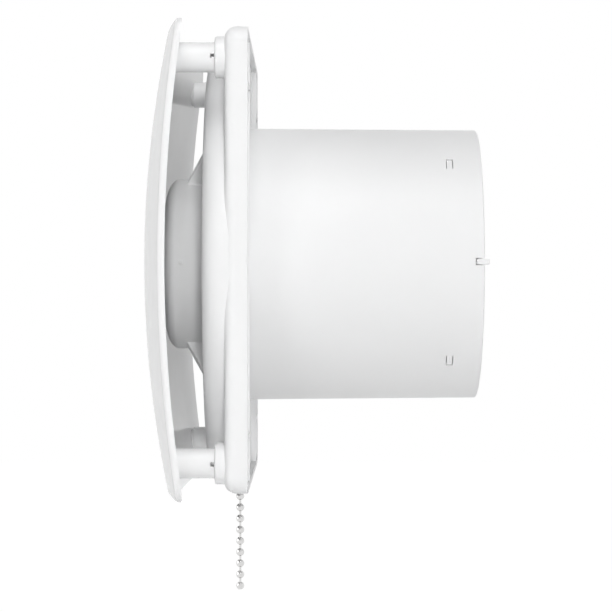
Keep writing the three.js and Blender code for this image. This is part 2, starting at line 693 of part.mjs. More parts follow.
// Section of a blade at one radius: a thin cambered foil wrapped round the hub's axis.
function bladeSection(radius, share) {
  const chord = THREE.MathUtils.lerp(BLADE_ROOT_CHORD, BLADE_TIP_CHORD, share);
  const pitch = radians(THREE.MathUtils.lerp(BLADE_ROOT_PITCH, BLADE_TIP_PITCH, share));
  const stations = [0, 0.12, 0.35, 0.65, 0.9, 1];
  const foil = (side) => stations.map((t) => {
    const half = BLADE_THICKNESS * Math.sqrt(t * (1 - t)) * (1.25 - 0.5 * t) + 0.12;
    const bow = 4 * BLADE_CAMBER * chord * t * (1 - t);
    return [chord * (t - 0.5), bow + side * half];
  });
  const outline = [...foil(1), ...foil(-1).reverse()];
  const middleX = HUB_FRONT + HUB_LENGTH / 2;
  return outline.map(([along, across]) => {
    const x = middleX + along * Math.sin(pitch) - across * Math.cos(pitch);
    const angle = -(along * Math.cos(pitch) + across * Math.sin(pitch)) / radius;
    return [x, radius * Math.sin(angle), radius * Math.cos(angle)];
  });
}

function impeller() {
  const hubBack = HUB_FRONT + HUB_LENGTH;
  const hubShell = turned([
    [HUB_FRONT, bushBore],
    [HUB_FRONT, hubR - 3],
    [HUB_FRONT + 0.9, hubR - 0.9],
    [HUB_FRONT + 3, hubR],
    [hubBack, hubR],
    [hubBack, hubR - HUB_WALL],
    [HUB_FRONT + HUB_WALL, hubR - HUB_WALL],
    [HUB_FRONT + HUB_WALL, bushBore],
  ], 4 * BLADES);
  const boss = ring(HUB_FRONT, SHAFT_BACK - 4, bushBore, HUB_BOSS_D / 2, SMALL);
  const webs = Array.from({ length: BLADES }, (_, i) =>
    spunX(block([HUB_FRONT + 0.5, -0.6, HUB_BOSS_D / 2 - 0.4], [HUB_FRONT + 9, 0.6, hubR - 0.5]),
      (360 * i) / BLADES));
  const tipR = boreR - TIP_CLEARANCE;
  const rootR = hubR - HUB_WALL / 2;
  const shares = [0, 0.33, 0.66, 1];
  const blade = loft(shares.map((share) =>
    bladeSection(THREE.MathUtils.lerp(rootR, tipR, share), share)));
  const blades = Array.from({ length: BLADES }, (_, i) => spunX(blade, (360 * i) / BLADES));
  return join(hubShell, boss, webs, blades);
}

// ---------------------------------------------------------------- back-draught damper

const knuckleSpots = { upper: [8, -31], lower: [24, -15] };

function damperRing() {
  const shell = ring(damperFront, damperBack, damperInner, damperR);
  const ledge = ring(ledgeBack - LEDGE_THICKNESS, ledgeBack, damperInner - LEDGE, damperInner + 0.5);
  const crossbar = block([ledgeBack - LEDGE_THICKNESS, -damperInner, -2.2],
    [ledgeBack, damperInner, 2.2]);
  const pinSeats = [-1, 1].map((side) => {
    const [near, far] = span(side * (damperInner - 2.4), side * (damperInner + 0.6));
    return block([ledgeBack - 0.5, near, -2.2], [hingeX + 2.2, far, 2.2]);
  });
  const pinHole = rod([hingeX, -damperR - 1, 0], [hingeX, damperR + 1, 0], PIN_D / 2 + 0.1);
  const tabs = DIAGONALS.map((degrees) =>
    spunX(block(
      [windowX - WINDOW_LENGTH / 2 + GAP, -WINDOW_WIDTH / 2 + GAP, damperR - 0.5],
      [windowX + WINDOW_LENGTH / 2 - GAP, WINDOW_WIDTH / 2 - GAP, ductR - 0.9],
    ), degrees));
  const pegs = [-1, 1].map((side) => {
    const [near, far] = span(side * (damperR - 0.5), side * (ductR - 0.2));
    return block([damperBack - 2, near, -PEG_WIDTH / 2], [DUCT_LENGTH + PEG_LENGTH, far, PEG_WIDTH / 2]);
  });
  return cut(join(shell, ledge, crossbar, pinSeats, tabs, pegs), pinHole);
}

const damperPin = () => rod([hingeX, -damperR + 1, 0], [hingeX, damperR - 1, 0], PIN_D / 2);

// One flap: half a disc with its hinge knuckles, drawn as the upper one.
function damperFlap(side) {
  const flapR = damperInner - 0.6;
  const half = Array.from({ length: 21 }, (_, i) => {
    const angle = radians(1 + (178 * i) / 20);
    return [flapR * Math.cos(angle), Math.max(0.4, flapR * Math.sin(angle))];
  });
  const seatRoom = [-1, 1].map((end) => {
    const [near, far] = span(end * (damperInner - 3.4), end * damperR);
    return block([flapFront - 1, near, 0], [flapBack + 1, far, 4]);
  });
  const own = side > 0 ? knuckleSpots.upper : knuckleSpots.lower;
  const others = side > 0 ? knuckleSpots.lower : knuckleSpots.upper;
  const room = [...others, -KNUCKLE_LENGTH / 2].map((y) =>
    block([flapFront - 1, y - 0.6, -1], [flapBack + 1, y + KNUCKLE_LENGTH + 0.6, 3.2]));
  const knuckles = own.map((y) =>
    cut(
      rod([hingeX, y, 0], [hingeX, y + KNUCKLE_LENGTH, 0], KNUCKLE_D / 2),
      rod([hingeX, y - 1, 0], [hingeX, y + KNUCKLE_LENGTH + 1, 0], knuckleBore),
    ));
  const shell = cut(plate(half, flapFront, flapBack), seatRoom, room);
  const flap = join(shell, knuckles);
  return side > 0 ? flap : flap.mirror([0, 0, 1]);
}

// Torsion spring round the pin, with a leg on the back of each flap.
function damperSpring() {
  const coilR = SPRING_COIL_D / 2;
  const start = (-SPRING_TURNS * SPRING_PITCH) / 2;
  const legFoot = flapBack + SPRING_WIRE_D / 2 + GAP;
  const turns = Array.from({ length: SPRING_TURNS * 8 + 1 }, (_, i) => {
    const angle = (TURN * i) / 8;
    return [hingeX + coilR * Math.cos(angle), start + (SPRING_PITCH * i) / 8, -coilR * Math.sin(angle)];
  });
  const leg = (side) => [SPRING_LEG, SPRING_LEG / 2].map((z) => [
    THREE.MathUtils.lerp(hingeX + coilR, legFoot, z / SPRING_LEG), side * start, side * z,
  ]);
  const points = [...leg(1), ...turns, ...leg(-1).reverse()];
  console.log(`spring: least gap to itself ${leastGap(turns, SPRING_WIRE_D, 6).toFixed(2)} mm`);
  return wire(points, SPRING_WIRE_D, (SPRING_TURNS * 8) + 8, 5);
}

// Least clear distance between two turns of a wire, on its own points.
function leastGap(points, diameter, apart) {
  let least = Infinity;
  points.forEach((p, i) => points.slice(i + apart).forEach((q) => {
    least = Math.min(least, new THREE.Vector3(...p).distanceTo(new THREE.Vector3(...q)) - diameter);
  }));
  return least;
}

// ---------------------------------------------------------------- bead chain and switch

// A run of beads and links, turned about its own middle line and hung under its top.
function beadRun(top, beads, stubAbove, stubBelow) {
  const [beadR, linkR] = [BEAD_D / 2, LINK_D / 2];
  const neck = Math.sqrt(beadR ** 2 - linkR ** 2);
  const profile = [[0, stubAbove], [linkR, stubAbove]];
  for (let i = 0; i < beads; i += 1) {
    const middle = -i * BEAD_PITCH;
    const first = i || stubAbove > neck ? neck : beadR;
    [1, 0.5, 0, -0.5, -1].forEach((share) => {
      const y = share * first * (Math.abs(share) === 1 ? 1 : 1.24);
      profile.push([Math.sqrt(Math.max(beadR ** 2 - y ** 2, linkR ** 2)), middle + y]);
    });
  }
  const bottom = -(beads - 1) * BEAD_PITCH - stubBelow;
  profile.push([linkR, bottom], [0, bottom]);
  const points = profile.map(([r, y]) => new THREE.Vector2(r, y));
  const geometry = new THREE.LatheGeometry(points, 8).rotateX(Math.PI / 2);
  return moved(solid(geometry), chainX, 0, top);
}

const beadStub = BEAD_PITCH / 2 - GAP / 2;
const crown = BEAD_D / 2 + 0.01;

const chainInside = () => beadRun(chainTop, BEADS_INSIDE, crown, beadStub);

const chainHanging = () =>
  beadRun(chainTop - BEADS_INSIDE * BEAD_PITCH, BEADS_HANGING, beadStub, crown);

function chainGuide() {
  const profile = [
    [guideBore + 0.3, -frameHalf],
    [guideR, -frameHalf],
    [guideR, -frameInner + 1],
    [guideR + GUIDE_FLANGE, -frameInner + 1],
    [guideR + GUIDE_FLANGE, -frameInner + 1.8],
    [guideBore, -frameInner + 1.8],
    [guideBore, -frameHalf + 0.6],
  ];
  const points = [...profile, profile[0]].map(([r, z]) => new THREE.Vector2(r, z));
  return moved(solid(new THREE.LatheGeometry(points, 16).rotateX(Math.PI / 2)), chainX, 0, 0);
}

function switchBody() {
  const [y0, y1] = [SWITCH_MIDDLE - SWITCH_LENGTH / 2, SWITCH_MIDDLE + SWITCH_LENGTH / 2];
  const [z0, z1] = [switchTop - SWITCH_HEIGHT, switchTop];
  const chamfer = 1.2;
  const outline = [
    [y0 + chamfer, z0], [y1 - chamfer, z0], [y1, z0 + chamfer], [y1, z1 - chamfer],
    [y1 - chamfer, z1], [y0 + chamfer, z1], [y0, z1 - chamfer], [y0, z0 + chamfer],
  ];
  const pivot = rodX(switchBack - 1, chainX + 1.6, LEVER_PIVOT_D / 2, -LEVER_ARM, leverZ);
  return join(plate(outline, switchFront, switchBack), pivot);
}

function switchLever() {
  const front = switchBack + GAP;
  const back = chainX + 1.9;
  const bar = block([front, -LEVER_ARM, leverZ - LEVER_THICKNESS / 2],
    [back, 1.9, leverZ + LEVER_THICKNESS / 2]);
  const eye = rodX(front, back, LEVER_EYE_D / 2, -LEVER_ARM, leverZ);
  return cut(
    join(bar, eye),
    rodX(front - 1, back + 1, LEVER_PIVOT_D / 2 + GAP, -LEVER_ARM, leverZ),
    rod([chainX, 0, leverZ - 3], [chainX, 0, leverZ + 3], 1.2),
  );
}

// ---------------------------------------------------------------- terminals and leads

function terminalBlock() {
  const [z0, z1] = [terminalBottom, terminalBottom + TERMINAL_HEIGHT];
  const pitch = TERMINAL_LENGTH / TERMINAL_POLES;
  const body = block([terminalFront, -TERMINAL_LENGTH / 2, z0], [terminalBack, TERMINAL_LENGTH / 2, z1]);
  const holes = Array.from({ length: TERMINAL_POLES }, (_, i) => {
    const y = (i + 0.5) * pitch - TERMINAL_LENGTH / 2;
    const x = (terminalFront + terminalBack) / 2;
    return [
      rod([x, y, z0 - 1], [x, y, z1 + 1], 1.5, 8),
      rodX(terminalBack - 2.6, terminalBack + 1, 1.9, y, (z0 + z1) / 2, 8),
    ];
  });
  const grooves = [1, 2].map((i) => {
    const y = i * pitch - TERMINAL_LENGTH / 2;
    return block([terminalBack - 1.6, y - 0.5, z0 - 1], [terminalBack + 1, y + 0.5, z1 + 1]);
  });
  return cut(body, holes.flat(), grooves);
}

function cableClamp() {
  const shape = [[-7, 0], [-7, 1.6], [-3.6, 1.6], [-2.6, 4.2], [2.6, 4.2], [3.6, 1.6], [7, 1.6], [7, 0],
    [2.6, 0], [1.8, 2.6], [-1.8, 2.6], [-2.6, 0]];
  const strap = sidePlate(shape, -2.5, 2.5);
  const flat = strap.rotate([0, 0, 90]).rotate([0, 90, 0]);
  const lean = -22;
  return moved(flat.rotate([lean, 0, 0]), ringFront + WALL + GAP, CABLE_SPOT - 1.5, terminalBottom - 1);
}

const leadStartY = TERMINAL_LENGTH / 2 + GAP;

// Lead from the terminals, round inside the ring, down to the switch.
function switchLead() {
  const r = ringR - 6.6;
  const along = (degrees) => [leadX, r * Math.cos(radians(degrees)), r * Math.sin(radians(degrees))];
  const start = [leadX, leadStartY, terminalBottom + 3];
  const end = [leadX, SWITCH_MIDDLE + SWITCH_LENGTH / 2 + GAP, switchTop - 4];
  const sweep = Array.from({ length: 13 }, (_, i) => along(68 - (134 * i) / 12));
  return wire([start, [leadX, start[1] + 4, start[2] + 0.5], ...sweep,
    [leadX, end[1] + 5, end[2] - 0.5], end], LEAD_D, LEAD_STEPS, 8);
}

// Lead from the switch through the bell mouth's wall, beside a rib, into the pod.
const motorLead = () =>
  rod([leadX, LEAD_D, switchTop + GAP], [leadX, LEAD_D, -(coreR + GAP + 0.4)], LEAD_D / 2, 8);

// ---------------------------------------------------------------- materials

const finish = (color, roughness, metalness = 0) => () =>
  new THREE.MeshStandardMaterial({ color, roughness, metalness });

const whitePlastic = finish(0xf4f5f6, 0.35);
const glossWhite = finish(0xf6f7f8, 0.22);
const flapPlastic = finish(0xe9eaea, 0.5);
const steel = finish(0xb9bcc0, 0.35, 1);
const bright = finish(0xd9dbde, 0.2, 1);
const lamination = finish(0x6d7075, 0.55, 0.8);
const copper = finish(0xb4683a, 0.4, 0.9);
const bronze = finish(0x9a7a48, 0.45, 0.9);
const darkPlastic = finish(0x3a3c3f, 0.6);
const greyPlastic = finish(0xc9ccd0, 0.5);
const brownSleeve = finish(0x6b3d22, 0.5);
const blueSleeve = finish(0x2f5d9c, 0.5);

// ---------------------------------------------------------------- assembly

const fan = new THREE.Group();

function group(...meshes) {
  const holder = new THREE.Group();
  holder.add(...meshes);
  fan.add(holder);
}

function piece(name, body, material) {
  const mesh = new THREE.Mesh(geometryOf(body), material());
  mesh.name = name;
  return mesh;
}

group(
  piece('face_frame', faceFrame(), whitePlastic),
  piece('duct_casing', ductCasing(), whitePlastic),
  ...screwPlaces().map((place, i) => piece(`frame_screw_${i + 1}`, frameScrew(place), steel)),
);

group(piece('front_panel', frontPanel(), glossWhite));

group(
  piece('inlet_guard', inletGuard(), whitePlastic),
  piece('pod_cap', podCap(), whitePlastic),
);

const coil = winding();
group(
  piece('stator_core', statorCore(), lamination),
  ...['top', 'near', 'bottom', 'far'].map((place, i) =>
    piece(`winding_${place}`, spunX(coil, 90 * i), copper)),
  piece('motor_front_bracket',
    motorBracket(frontBracketFront, bushFront - 0.5, frontBracketFront + BRACKET + 1, []), steel),
  piece('motor_rear_bracket',
    motorBracket(rearBracketFront, rearBracketFront - 1, POD_BACK, motorScrewPlaces()), steel),
  piece('front_bush', ring(bushFront - 0.5, bushFront + BUSH_LENGTH - 0.5, bushBore, BUSH_D / 2, SMALL),
    bronze),
  piece('rear_bush', ring(POD_BACK - BUSH_LENGTH, POD_BACK, bushBore, BUSH_D / 2, SMALL), bronze),
  ...motorScrewPlaces().map((place, i) => piece(`motor_screw_${i + 1}`, motorScrew(place), steel)),
);

group(
  piece('rotor_core', ring(CORE_FRONT, coreBack, bushBore, ROTOR_D / 2, MEDIUM), lamination),
  piece('motor_shaft', rodX(SHAFT_FRONT, SHAFT_BACK, shaftR), bright),
  piece('impeller', impeller(), whitePlastic),
  piece('impeller_clip', ring(SHAFT_BACK - 3.4, SHAFT_BACK - 2.4, bushBore, 4.2, SMALL), steel),
);

group(
  piece('damper_ring', damperRing(), whitePlastic),
  piece('damper_pin', damperPin(), bright),
  piece('damper_flap_upper', damperFlap(1), flapPlastic),
  piece('damper_flap_lower', damperFlap(-1), flapPlastic),
  piece('damper_spring', damperSpring(), steel),
);

group(
  piece('chain_guide', chainGuide(), whitePlastic),
  piece('chain_inside', chainInside(), bright),
  piece('chain_hanging', chainHanging(), bright),
  piece('switch_body', switchBody(), greyPlastic),
  piece('switch_lever', switchLever(), darkPlastic),
);

group(
  piece('terminal_block', terminalBlock(), greyPlastic),
  piece('cable_clamp', cableClamp(), greyPlastic),
  piece('switch_lead', switchLead(), brownSleeve),
  piece('motor_lead', motorLead(), blueSleeve),
);

export default fan;
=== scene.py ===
import json
import math

import bmesh
import bpy
from mathutils import Matrix, Vector


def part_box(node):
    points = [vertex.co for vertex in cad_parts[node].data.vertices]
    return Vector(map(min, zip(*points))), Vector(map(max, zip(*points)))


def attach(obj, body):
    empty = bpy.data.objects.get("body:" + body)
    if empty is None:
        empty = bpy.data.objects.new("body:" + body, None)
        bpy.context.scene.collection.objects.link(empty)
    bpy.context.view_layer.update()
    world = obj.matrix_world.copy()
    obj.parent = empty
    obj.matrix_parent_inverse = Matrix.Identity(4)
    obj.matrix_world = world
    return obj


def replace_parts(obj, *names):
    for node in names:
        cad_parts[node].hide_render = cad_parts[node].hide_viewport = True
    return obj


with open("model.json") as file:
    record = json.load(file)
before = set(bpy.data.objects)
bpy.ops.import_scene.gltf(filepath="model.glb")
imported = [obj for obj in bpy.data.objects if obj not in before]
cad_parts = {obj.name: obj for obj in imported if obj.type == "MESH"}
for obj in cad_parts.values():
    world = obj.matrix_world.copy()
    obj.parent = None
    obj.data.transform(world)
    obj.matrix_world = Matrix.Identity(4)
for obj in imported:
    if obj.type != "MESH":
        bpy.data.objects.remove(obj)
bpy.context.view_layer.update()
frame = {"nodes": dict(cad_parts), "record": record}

# A 100 mm extractor fan: domed front panel on four posts, square face frame with a round inlet,
# duct spigot with a back-draught damper, and a bead chain. Sizes below are in millimetres, in the
# part's own frame: X along the duct to the outside, Z up, and X = 0 where the frame meets the wall.

MM = 0.001
TURN = 2 * math.pi
ROUND = 160                 # sides of the largest rounds
COLLAR = 56                 # sides of posts, collars and hubs
SMALL = 28                  # sides of screws, pins and wires
EVERY_QUARTER = (45, 135, 225, 315)


def corner_places(spot):
    """Four places (y, z) at one distance from the axis, across and up."""
    return [(-spot, spot), (spot, spot), (-spot, -spot), (spot, -spot)]


def node_box(node):
    """Lowest and highest corner of a node, in millimetres."""
    low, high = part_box(node)
    return low / MM, high / MM


frame_low, frame_high = node_box("face_frame")
panel_low, panel_high = node_box("front_panel")
duct_low, duct_high = node_box("duct_casing")
guard_low, _ = node_box("inlet_guard")
cap_low, _ = node_box("pod_cap")
blade_low, blade_high = node_box("impeller")
damper_low, damper_high = node_box("damper_ring")
chain_low, chain_high = node_box("chain_hanging")

WALL = 2.0
RUNNING_GAP = 0.3
OVERLAP = 0.4               # how far a shape reaches into the one that it is joined to

FRAME_HALF = frame_high.y
FRAME_DEPTH = 8.0
FACE_BACK = WALL - FRAME_DEPTH
FRAME_CORNER = 6.0
FRAME_FILLET = 4.0
RING_RADIUS = FRAME_HALF - 0.4
RING_FRONT = frame_low.x
RING_ROUND = 7.0
MOUTH_RADIUS = RING_RADIUS - 18.6
BELL_BACK = RING_FRONT + 11.9

BORE = 48.0
DUCT_RADIUS = 50.0
DUCT_END_RADIUS = 49.35
DUCT_END = duct_high.x
PLATE_FRONT = duct_low.x
PLATE_BACK = PLATE_FRONT + 1.8
RIB = 1.6
FRAME_SCREW_HOLE = 1.6      # radius of the holes for the frame's screws
WALL_SCREW_HOLE = 2.25      # and for the wall's

POST_SPOT = FRAME_HALF - 10
POST_RADIUS = 5.1
COLLAR_RADIUS = 7.15
COLLAR_FRONT = -FRAME_DEPTH - 3.4
WALL_SCREW_SPOT = FRAME_HALF - 19.5
SCREW_SPOT = (MOUTH_RADIUS + 4.5) * math.sqrt(0.5)

CHAIN_X = (chain_low.x + chain_high.x) / 2
BEAD_RADIUS = 1.5
BEAD_PITCH = 4.14
BEAD_HOLE = 0.52            # radius of the hole at each pole of a bead
BEAD_WALL = 0.22
BEADS_HANGING = 10
BEADS_INSIDE = 4
LINK_RADIUS = 0.4


# ------------------------------------------------------------------ camera

CAMERA_PLACE = (19.56, -840, -15.5)
CAMERA_LENS = 133.4


def set_camera():
    """Looks level along +Y, square to the duct."""
    lens = bpy.data.cameras.new("camera")
    lens.sensor_width = 36
    lens.lens = CAMERA_LENS
    camera = bpy.data.objects.new("camera", lens)
    camera.location = Vector(CAMERA_PLACE) * MM
    camera.rotation_euler = (math.radians(90), 0, 0)
    bpy.context.scene.collection.objects.link(camera)
    bpy.context.scene.camera = camera


set_camera()


# ------------------------------------------------------------------ shader maths

class Signal:
    """A socket in a finish; Python's operators on it add the Math nodes they stand for."""

    def __init__(self, finish, socket):
        self.finish = finish
        self.socket = socket

    def math(self, operation, first, second):
        made = self.finish.node("Math", {"operation": operation}, {0: first, 1: second})
        return Signal(self.finish, made.outputs[0])

    def __add__(self, other):
        return self.math("ADD", self, other)

    def __radd__(self, other):
        return self.math("ADD", other, self)

    def __mul__(self, other):
        return self.math("MULTIPLY", self, other)

    def __rmul__(self, other):
        return self.math("MULTIPLY", other, self)


class Finish:
    """One procedural material, built node by node round a Principled shader."""

    def __init__(self, name, **constants):
        self.material = bpy.data.materials.new(name)
        self.material.use_nodes = True
        self.nodes = self.material.node_tree.nodes
        self.links = self.material.node_tree.links
        self.shader = self.nodes["Principled BSDF"]
        for socket, value in constants.items():
            self.shader.inputs[socket.replace("_", " ")].default_value = value
        place = self.node("TexCoord")
        self.place = Signal(self, place.outputs["Object"])

    def node(self, kind, settings=None, sockets=None, stops=None):
        """Adds a node of a type, with its settings first and then its sockets' values or links."""
        made = self.nodes.new("ShaderNode" + kind)
        for name, value in (settings or {}).items():
            setattr(made, name, value)
        if stops:
            ramp = made.color_ramp.elements
            while len(ramp) < len(stops):
                ramp.new(0.5)
            for element, (position, colour) in zip(ramp, stops):
                element.position = position
                element.color = (*colour, 1)
        for name, value in (sockets or {}).items():
            if isinstance(value, Signal):
                self.links.new(value.socket, made.inputs[name])
            else:
                made.inputs[name].default_value = value
        return made

    def stretched(self, scale):
        """The surface's own place, stretched for grain that runs one way."""
        made = self.node("Mapping", {}, {"Vector": self.place, "Scale": scale})
        return Signal(self, made.outputs["Vector"])

    def noise(self, size_mm, detail, place=None, rough=0.5):
        """Noise from 0 to 1 whose blotches are about as wide as the size given."""
        made = self.node("TexNoise", {"noise_dimensions": "3D"}, {
            "Vector": place or self.place,
            "Scale": 1 / (size_mm * MM),
            "Detail": detail,
            "Roughness": rough,
        })
        return Signal(self, made.outputs[0])

    def ramp(self, value, *stops):
        made = self.node("ValToRGB", {}, {0: value}, stops)
        return Signal(self, made.outputs[0])

    def bands(self, direction, pitch_mm, distortion=0.0):
        """Even stripes across an axis, from 0 to 1."""
        made = self.node("TexWave", {"bands_direction": direction, "wave_profile": "SIN"}, {
            "Vector": self.place,
            "Scale": TURN / (20 * pitch_mm * MM),
            "Distortion": distortion,
        })
        return Signal(self, made.outputs[1])

    def set(self, socket, signal):
        self.links.new(signal.socket, self.shader.inputs[socket])

    def relief(self, height, depth_mm, strength):
        bump = self.node("Bump", {}, {
            "Height": height, "Strength": strength, "Distance": depth_mm * MM,
        })
        self.set("Normal", Signal(self, bump.outputs[0]))


def shade(colour, factor):
    return tuple(channel * factor for channel in colour)


def moulded_plastic(name, colour, roughness, grain_mm, grain_depth, coat=0.0):
    """Injection-moulded plastic: a faint flow mottle, fine mould grain and uneven sheen."""
    finish = Finish(name, IOR=1.46, Specular_IOR_Level=0.22, Coat_Weight=coat, Coat_Roughness=0.12)
    flow = finish.noise(38, 2, finish.stretched((1, 0.55, 1.4)))
    finish.set("Base Color", finish.ramp(flow, (0.3, shade(colour, 0.985)), (0.7, colour)))
    patches = finish.noise(9, 3)
    finish.set("Roughness", roughness - 0.04 + 0.08 * patches)
    grain = finish.noise(grain_mm, 2, rough=0.6)
    finish.relief(grain, grain_depth, 0.5)
    return finish.material


def plated_metal(name, colour, roughness, scratch_mm):
    """Bright plate or ground steel: hair-fine scratches and slightly clouded shine."""
    finish = Finish(name, Metallic=1.0)
    cloud = finish.noise(1.6, 3)
    finish.set("Base Color", finish.ramp(cloud, (0.25, shade(colour, 0.9)), (0.7, colour)))
    scratches = finish.noise(scratch_mm, 4, finish.stretched((1, 9, 9)))
    finish.set("Roughness", roughness - 0.06 + 0.14 * scratches)
    finish.relief(scratches, 0.01, 0.4)
    return finish.material


def stacked_laminations(name, colour):
    """Electrical steel punched and stacked along the shaft, half a millimetre a sheet."""
    finish = Finish(name, Metallic=0.85)
    sheets = finish.bands("X", 0.5)
    oxide = finish.noise(2.2, 4)
    tone = sheets * 0.35 + oxide * 0.65
    finish.set("Base Color", finish.ramp(tone, (0.2, shade(colour, 0.7)), (0.8, shade(colour, 1.15))))
    finish.set("Roughness", 0.42 + 0.2 * oxide)
    finish.relief(sheets, 0.06, 0.7)
    return finish.material


def wound_copper(name, colour):
    """Enamelled wire laid side by side round a pole."""
    finish = Finish(name, Metallic=0.75, Coat_Weight=0.5, Coat_Roughness=0.15)
    strands = finish.bands("Z", 0.35, 0.6)
    enamel = finish.noise(1.1, 3)
    finish.set("Base Color", finish.ramp(strands * 0.6 + enamel * 0.4,
                                         (0.2, shade(colour, 0.55)), (0.75, colour)))
    finish.set("Roughness", 0.3 + 0.16 * enamel)
    finish.relief(strands, 0.12, 0.8)
    return finish.material


def sintered_bronze(name, colour):
    """Pressed and oiled metal powder, pitted all over."""
    finish = Finish(name, Metallic=0.9)
    pits = finish.noise(0.35, 4)
    finish.set("Base Color", finish.ramp(pits, (0.35, shade(colour, 0.6)), (0.65, colour)))
    finish.set("Roughness", 0.35 + 0.25 * pits)
    finish.relief(pits, 0.05, 0.6)
    return finish.material


def wire_sleeve(name, colour):
    """Extruded insulation with faint draw lines and a dull bloom."""
    finish = Finish(name, IOR=1.5)
    bloom = finish.noise(3.5, 3)
    finish.set("Base Color", finish.ramp(bloom, (0.3, shade(colour, 0.8)), (0.75, shade(colour, 1.1))))
    finish.set("Roughness", 0.42 + 0.14 * bloom)
    finish.relief(finish.noise(0.4, 2), 0.02, 0.4)
    return finish.material


WHITE = (0.9, 0.903, 0.906)
FINISHES = {
    "white_plastic": moulded_plastic("satin white plastic", WHITE, 0.36, 0.35, 0.006),
    "panel_gloss": moulded_plastic("polished white plastic", WHITE, 0.24, 0.9, 0.002, 0.1),
    "impeller_plastic": moulded_plastic("off-white plastic", (0.8, 0.803, 0.8), 0.42, 0.4, 0.01),
    "flap_plastic": moulded_plastic("thin white plastic", (0.79, 0.795, 0.8), 0.46, 0.5, 0.01),
    "chain_plating": plated_metal("nickel plate", (0.74, 0.735, 0.73), 0.24, 0.3),
    "steel": plated_metal("zinc plate", (0.56, 0.57, 0.59), 0.36, 0.5),
    "bright_steel": plated_metal("ground steel", (0.66, 0.66, 0.67), 0.22, 0.25),
    "lamination": stacked_laminations("stacked laminations", (0.2, 0.21, 0.23)),
    "copper": wound_copper("enamelled copper", (0.55, 0.24, 0.11)),
    "bronze": sintered_bronze("sintered bronze", (0.46, 0.33, 0.17)),
    "dark_plastic": moulded_plastic("dark plastic", (0.035, 0.036, 0.04), 0.5, 0.3, 0.02),
    "grey_plastic": moulded_plastic("pale grey plastic", (0.5, 0.51, 0.52), 0.45, 0.3, 0.015),
    "brown_sleeve": wire_sleeve("brown sleeve", (0.16, 0.065, 0.03)),
    "blue_sleeve": wire_sleeve("blue sleeve", (0.03, 0.11, 0.36)),
}


# ------------------------------------------------------------------ modelling

AXES = {"X": Vector((1, 0, 0)), "Y": Vector((0, 1, 0)), "Z": Vector((0, 0, 1))}
OUTWARDS = {"X": Vector((0, 0, 1)), "Y": Vector((1, 0, 0)), "Z": Vector((1, 0, 0))}


def ellipse_arc(x, r, reach_x, reach_r, start, end, steps):
    """Points (x, r) along part of an ellipse, for a profile."""
    angles = [math.radians(start + (end - start) * i / steps) for i in range(steps + 1)]
    return [(x + reach_x * math.cos(a), r + reach_r * math.sin(a)) for a in angles]


def turned(profile, rounds=None, axis="X", centre=(0, 0, 0), sides=ROUND):
    """A closed profile of (along, radius) spun about an axis; rounds softens corners by index."""
    bm = bmesh.new()
    along, out = AXES[axis], OUTWARDS[axis]
    corners = [bm.verts.new(along * a + out * r) for a, r in profile]
    bm.faces.new(corners)
    for index, reach in (rounds or {}).items():
        bmesh.ops.bevel(bm, geom=[corners[index]], offset=reach, segments=4, profile=0.5,
                        affect="VERTICES", material=-1)
    bmesh.ops.delete(bm, geom=list(bm.faces), context="FACES_ONLY")
    bmesh.ops.spin(bm, geom=list(bm.verts) + list(bm.edges), cent=(0, 0, 0), axis=along,
                   angle=TURN, steps=sides, use_merge=True)
    bmesh.ops.remove_doubles(bm, verts=bm.verts, dist=1e-4)
    bmesh.ops.dissolve_degenerate(bm, edges=bm.edges, dist=1e-5)
    bmesh.ops.recalc_face_normals(bm, faces=bm.faces)
    bmesh.ops.translate(bm, vec=centre, verts=bm.verts)
    return bm


def tube(x0, x1, inner, outer, rounds=0.0, **where):
    soft = {i: rounds for i in range(4)} if rounds else {}
    return turned([(x0, inner), (x0, outer), (x1, outer), (x1, inner)], soft, **where)


def rod(x0, x1, radius, rounds=0.0, **where):
    soft = {1: rounds, 2: rounds} if rounds else {}
    return turned([(x0, 0), (x0, radius), (x1, radius), (x1, 0)], soft, **where)


def block(low, high, rounds=0.0):
    """A box between two corners, with all its edges rounded if rounds is given."""
    bm = bmesh.new()
    bmesh.ops.create_cube(bm, size=1)
    low, high = Vector(low), Vector(high)
    bmesh.ops.scale(bm, vec=high - low, verts=bm.verts)
    bmesh.ops.translate(bm, vec=(low + high) / 2, verts=bm.verts)
    if rounds:
        bmesh.ops.bevel(bm, geom=list(bm.edges), offset=rounds, segments=3, profile=0.5,
                        affect="EDGES", material=-1)
    return bm


def rounded_plate(half, corner, x0, x1, front_round=0.0, rear_round=0.0, segments=8):
    """A square plate with round corners; its front and rear outlines can be rounded too."""
    bm = block((x0, -half, -half), (x1, half, half))
    along = [e for e in bm.edges if abs(e.verts[0].co.x - e.verts[1].co.x) > 1e-6]
    bmesh.ops.bevel(bm, geom=along, offset=corner, segments=14, profile=0.5, affect="EDGES",
                    material=-1)
    for x, reach in ((x0, front_round), (x1, rear_round)):
        if reach:
            outline = [e for e in bm.edges if all(abs(v.co.x - x) < 1e-6 for v in e.verts)]
            bmesh.ops.bevel(bm, geom=outline, offset=reach, segments=segments, profile=0.5,
                            affect="EDGES", material=-1)
    return bm


def extruded(outline, vec, rounds=0.0):
    """A flat outline of points pushed along a vector, with its edges rounded if rounds is given."""
    bm = bmesh.new()
    face = bm.faces.new([bm.verts.new(p) for p in outline])
    pushed = bmesh.ops.extrude_face_region(bm, geom=[face])
    far_corners = [v for v in pushed["geom"] if isinstance(v, bmesh.types.BMVert)]
    bmesh.ops.translate(bm, vec=vec, verts=far_corners)
    bmesh.ops.recalc_face_normals(bm, faces=bm.faces)
    if rounds:
        bmesh.ops.bevel(bm, geom=list(bm.edges), offset=rounds, segments=2, profile=0.5,
                        affect="EDGES", material=-1)
    return bm


